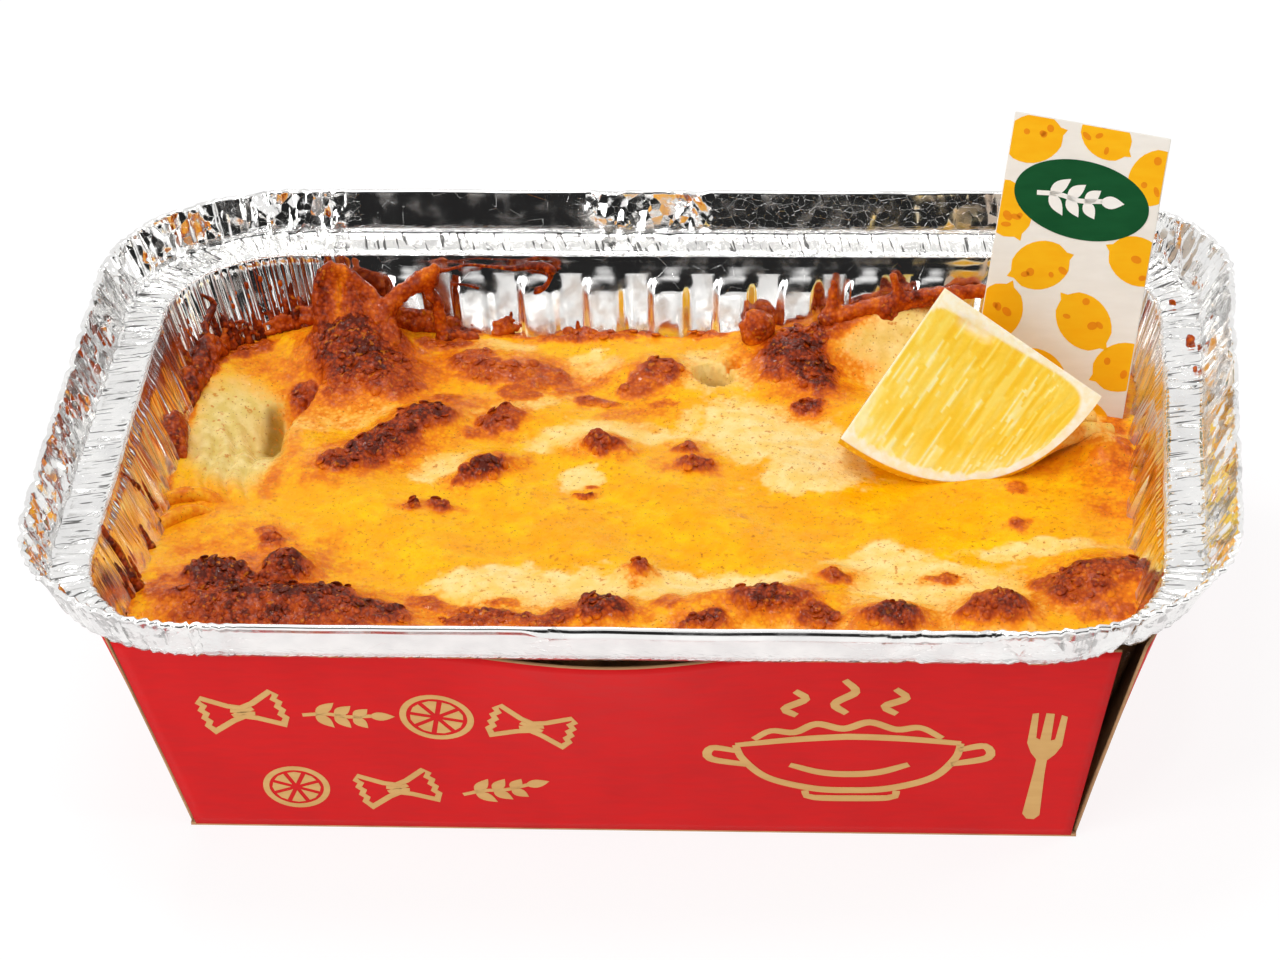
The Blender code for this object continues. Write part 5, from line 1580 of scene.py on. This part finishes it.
def sprig(place, turn, size, pen, pairs=3):
    """A stem with leaves in pairs and one at its end."""
    stem = curve_through([(0, 0), (3, 0.5), (6, 0.3), (9.2, 1.0)])
    shapes = [stroke(shifted(stem, place, turn, size), pen)]
    for number in range(pairs):
        foot = (1.8 + 2.5 * number, 0.35)
        for side in (1, -1):
            blade = shifted(leaf(3.6 - 0.4 * number, 1.7), foot, side * 48)
            shapes.append(fill(shifted(blade, place, turn, size)))
    shapes.append(fill(shifted(shifted(leaf(3.4, 1.8), (8.9, 0.9), 8), place, turn, size)))
    return shapes


def citrus_slice(place, turn, size, pen):
    """A round slice with its spokes."""
    shapes = [stroke(shifted(oval(9.4, 9.4), place, turn, size), pen, closed=True)]
    for number in range(8):
        spoke = shifted([(0.9, 0.0), (3.5, -1.05), (3.75, 0.0), (3.5, 1.05)], (0, 0), 45 * number)
        shapes.append(fill(shifted(spoke, place, turn, size)))
    return shapes


def steaming_bowl(place, size, pen):
    """A wide dish with a wavy filling, a foot, two handles and three curls of steam."""
    lines = [
        [(-17, 6.2), (-16, 2.4), (-12.5, -2.4), (-6, -5.2), (0, -5.8), (6, -5.2), (12.5, -2.4), (16, 2.4),
         (17, 6.2)],
        [(-17, 6.2), (-8, 7.2), (0, 7.5), (8, 7.2), (17, 6.2)],
        [(-14.2, 7.6), (-11.5, 9.6), (-8, 9.0), (-4.6, 10.9), (-0.5, 9.5), (3.4, 11.1), (7.4, 9.4),
         (11, 9.9), (14.2, 7.4)],
        [(-7, -5.8), (-5.6, -7.6), (5.6, -7.6), (7, -5.8)],
        [(-16.6, 4.6), (-20.6, 5.6), (-21.0, 2.8), (-15.4, 1.0)],
        [(16.6, 4.6), (20.6, 5.6), (21.0, 2.8), (15.4, 1.0)],
        [(-9.0, 0.8), (-4.5, -1.2), (0, -1.8), (4.5, -1.2), (9.0, 0.8)],
    ]
    for x, tall in ((-7.5, 6.0), (0.0, 8.0), (7.5, 6.0)):
        curl = ((0, 0), (-1.7, 0.3), (1.5, 0.65), (0, 1))
        lines.append([(x + aside, 13.2 + tall * up) for aside, up in curl])
    return [stroke(shifted(curve_through(line), place, 0, size), pen, taper=0.25) for line in lines]


def table_fork(place, turn, size):
    """A fork with three tines, filled."""
    half = [(0.5, -13.0), (1.15, -12.0), (0.75, -3.0), (0.7, 0.0), (1.6, 1.4), (2.3, 3.4), (2.3, 9.6),
            (1.5, 9.9), (1.25, 4.6), (0.7, 4.3), (0.55, 10.0)]
    outline = half + [(-x, y) for x, y in reversed(half)]
    return [fill(shifted(outline, place, turn, size))]


def make_sleeve_print(finish):
    """Kraft-coloured kitchen motifs on the red front panel."""
    shapes = steaming_bowl((36.0, 17.5), 1.05, 1.5)
    shapes += table_fork((66.5, 20.0), -7, 1.2)
    shapes += bow_tie_pasta((-60.0, 30.0), 10, 1.25, 1.15)
    shapes += sprig((-50.5, 29.4), -4, 1.2, 0.8)
    shapes += citrus_slice((-29.0, 30.4), 12, 1.15, 1.05)
    shapes += bow_tie_pasta((-14.0, 29.0), -14, 1.25, 1.15)
    shapes += citrus_slice((-53.5, 10.5), 0, 1.05, 1.0)
    shapes += bow_tie_pasta((-37.0, 10.6), 12, 1.2, 1.1)
    shapes += sprig((-26.5, 9.4), 10, 1.2, 0.8)
    return make_print("sleeve_front_print", shapes, front_panel, finish)


# Label card

def make_card(white):
    width, thick, tall = CARD_SIZE
    work = bmesh.new()
    bmesh.ops.create_cube(work, size=1.0)
    bmesh.ops.scale(work, verts=work.verts, vec=(width, thick, tall))
    bmesh.ops.translate(work, verts=work.verts, vec=(0, 0, tall / 2))
    bmesh.ops.bevel(work, geom=work.edges[:], offset=0.12, segments=2, affect="EDGES")
    points = np.array([vert.co[:] for vert in work.verts])
    work.verts.index_update()
    faces = [[vert.index for vert in face.verts] for face in work.faces]
    work.free()
    world = placed(points, CARD_FOOT, CARD_TURNS)
    card = make_piece("label_card_board", world, faces, [white], smooth=False)
    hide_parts("label_card")


def card_front(spots):
    """Flat points of the card's front, from its lower middle, as points and facings."""
    base = np.stack([spots[:, 0], np.full(len(spots), -CARD_SIZE[1] / 2), spots[:, 1]], -1)
    facing = placed([[0, -1, 0]], (0, 0, 0), CARD_TURNS) + np.zeros_like(base)
    return placed(base, CARD_FOOT, CARD_TURNS), facing


# Lemons on the card: x, y, turn and size. The card's foot is in the gratin.
CARD_LEMONS = (
    (-9.5, 50.5, 24, 1.0), (2.5, 53.0, -30, 0.9), (11.6, 47.5, 62, 1.0), (-12.0, 38.0, -58, 1.0),
    (11.2, 33.0, -18, 1.0), (-4.8, 29.4, 28, 1.0), (4.0, 21.2, -42, 1.05), (-10.6, 20.2, 74, 1.0),
    (11.6, 14.6, 32, 1.0), (-2.6, 11.0, -12, 1.0), (-11.8, 6.2, 40, 1.0), (7.0, 3.8, -36, 1.0),
)


def make_card_print(yellow, orange, green, white):
    width, _, tall = CARD_SIZE
    low, high = (-width / 2 + 0.15, 0.15), (width / 2 - 0.15, tall - 0.15)
    rng = np.random.default_rng(77)
    upper = [(-6.0, 0), (-5.0, 0.7), (-4.2, 2.4), (-2.2, 3.7), (0, 4.1), (2.2, 3.7), (4.2, 2.4), (5.0, 0.7)]
    fruit = upper + [(-x, -y) for x, y in upper]
    lemons, spots = [], []
    for x, y, turn, size in CARD_LEMONS:
        outline = clip_to(shifted(curve_through(fruit, True, 0.8), (x, y), turn, size), low, high)
        if len(outline) > 2:
            lemons.append(fill(outline))
        for _ in range(4):
            place = shifted([rng.uniform((-3.4, -2.4), (3.4, 2.4))], (x, y), turn, size)[0]
            dot = oval(rng.uniform(1.0, 2.0), rng.uniform(0.8, 1.4), 14)
            dot = clip_to(shifted(dot, place, rng.uniform(0, 180)), low, high)
            if len(dot) > 2:
                spots.append(fill(dot))
    make_print("card_print_lemons", lemons, card_front, yellow, 0.03)
    make_print("card_print_spots", spots, card_front, orange, 0.045)
    badge = fill(shifted(oval(23.0, 13.4, 64), (0.2, 41.6), -2.5))
    make_print("card_print_badge", [badge], card_front, green, 0.06)
    emblem = sprig((-7.4, 41.6), -4, 1.2, 0.8)
    make_print("card_print_sprig", emblem, card_front, white, 0.075)


# Stage, light and camera

CAMERA_LIFT = math.radians(32.174)
CAMERA_TURN = math.radians(5.784)
CAMERA_ROLL = math.radians(-2.650)
CAMERA_DISTANCE = 909.58
CAMERA_LENS = 150.30
CAMERA_TARGET = Vector((-2.592, 19.126, 25.0))


def make_camera():
    flat = math.cos(CAMERA_LIFT)
    back = Vector((math.sin(CAMERA_TURN) * flat, -math.cos(CAMERA_TURN) * flat, math.sin(CAMERA_LIFT)))
    level = Vector((math.cos(CAMERA_TURN), math.sin(CAMERA_TURN), 0))
    upright = back.cross(level)
    right = level * math.cos(CAMERA_ROLL) + upright * math.sin(CAMERA_ROLL)
    up = upright * math.cos(CAMERA_ROLL) - level * math.sin(CAMERA_ROLL)
    data = bpy.data.cameras.new("photo_camera")
    data.sensor_width = 36.0
    data.lens = CAMERA_LENS
    data.clip_start = 0.01
    data.clip_end = 100.0
    camera = bpy.data.objects.new("photo_camera", data)
    place = Matrix.Translation((CAMERA_TARGET + back * CAMERA_DISTANCE) * MM)
    camera.matrix_world = place @ Matrix((right, up, back)).transposed().to_4x4()
    bpy.context.scene.collection.objects.link(camera)
    bpy.context.scene.camera = camera


def make_floor():
    finish, bench, shader = new_finish("studio_paper", Roughness=0.9)
    shader.inputs["Emission Strength"].default_value = 0.86
    shader.inputs["Emission Color"].default_value = (1, 1, 1, 1)
    tone = bench.blend(mottle(bench, 400.0), (0.14, 0.14, 0.14, 1), (0.15, 0.15, 0.15, 1))
    join(bench, shader, Base_Color=tone)
    reach = 8.0
    mesh = bpy.data.meshes.new("studio_floor")
    corners = [(-reach, -reach, 0), (reach, -reach, 0), (reach, reach, 0), (-reach, reach, 0)]
    mesh.from_pydata(corners, [], [[0, 1, 2, 3]])
    mesh.materials.append(finish)
    floor = bpy.data.objects.new("studio_floor", mesh)
    bpy.context.scene.collection.objects.link(floor)


# Name, place, aim, size and power, in metres and watts.
LIGHTS = (
    ("left_softbox", (-0.9, -0.9, 0.9), (0, 0, 0.03), 0.6, 5.0),
    ("left_front_lamp", (-0.34, -0.32, 0.16), (-0.03, -0.05, 0.03), 0.2, 0.4),
    ("right_softbox", (1.0, 0.3, 0.8), (0, 0, 0.03), 0.5, 2.5),
    ("top_softbox", (-0.2, 0.1, 1.3), (0, 0, 0.03), 0.5, 5.0),
    ("small_lamp_back", (-0.45, 0.35, 0.85), (0, 0, 0.03), 0.09, 1.1),
    ("small_lamp_front", (0.2, -0.45, 0.9), (0, 0, 0.03), 0.09, 1.1),
)


def make_light(name, place, aim, size, power):
    data = bpy.data.lights.new(name, "AREA")
    data.shape = "DISK"
    data.size = size
    data.energy = power
    light = bpy.data.objects.new(name, data)
    light.location = place
    light.rotation_mode = "QUATERNION"
    light.rotation_quaternion = (Vector(aim) - Vector(place)).to_track_quat("-Z", "Y")
    bpy.context.scene.collection.objects.link(light)


def make_world():
    """White all round, with a dark band low towards the photographer that shows in the foil alone."""
    world = bpy.data.worlds.new("studio")
    world.use_nodes = True
    bpy.context.scene.world = world
    bench = Bench(world.node_tree)
    background = world.node_tree.nodes["Background"]
    background.inputs["Color"].default_value = (1, 1, 1, 1)
    direction = bench.add("ShaderNodeTexCoord").outputs["Generated"]
    parts = bench.add("ShaderNodeSeparateXYZ", {0: direction}).outputs
    height = bench.sum("MULTIPLY", bench.spread(parts[2], 0.02, 0.07), bench.spread(parts[2], 0.66, 0.56))
    towards = bench.spread(parts[1], -0.2, -0.4)
    dark = bench.sum("MULTIPLY", height, towards)
    glossy = bench.add("ShaderNodeLightPath").outputs["Is Glossy Ray"]
    shade = bench.sum("MULTIPLY", dark, glossy)
    around = bench.spread(glossy, 0.0, 1.0, 0.36, 0.95)
    level = bench.sum("MULTIPLY", around, bench.spread(shade, 0.0, 1.0, 1.0, 0.02))
    world.node_tree.links.new(level, background.inputs["Strength"])


def main():
    foil = make_foil_finish()
    cheese = make_cheese_finish()
    red = make_board_finish("printed_red_board", screen(200, 16, 20), screen(216, 24, 26), 0.5, 0.06)
    kraft = make_board_finish("kraft_board", screen(176, 130, 92), screen(206, 160, 116), 0.75, 0.2)
    white = make_board_finish("white_label_board", screen(238, 234, 226), screen(246, 243, 236), 0.55, 0.06)
    tray = make_foil_tray(foil)
    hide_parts("foil_tray")
    gratin = make_gratin(cheese)
    make_crust(cheese)
    blister_growth = make_blister_growth()
    make_blisters(blister_growth, gratin, cheese)
    make_wall_splashes(blister_growth, cheese)
    make_wall_drips(make_drip_growth(), cheese)
    make_pasta_ends(cheese)
    make_lemon(make_lemon_finish())
    make_sleeve(red, kraft)
    make_sleeve_print(make_board_finish("kraft_print", screen(206, 156, 92), screen(220, 176, 112), 0.6, 0.1))
    make_card(white)
    make_card_print(
        make_board_finish("yellow_print", screen(252, 178, 12), screen(255, 194, 26), 0.5, 0.05),
        make_board_finish("orange_print", screen(232, 134, 10), screen(244, 152, 22), 0.5, 0.05),
        make_board_finish("green_print", screen(14, 76, 40), screen(20, 88, 48), 0.5, 0.05),
        make_board_finish("white_print", screen(244, 243, 238), screen(250, 249, 245), 0.5, 0.05))
    make_floor()
    make_world()
    for light in LIGHTS:
        make_light(*light)
    make_camera()
    bpy.context.scene.view_settings.view_transform = "Standard"


main()
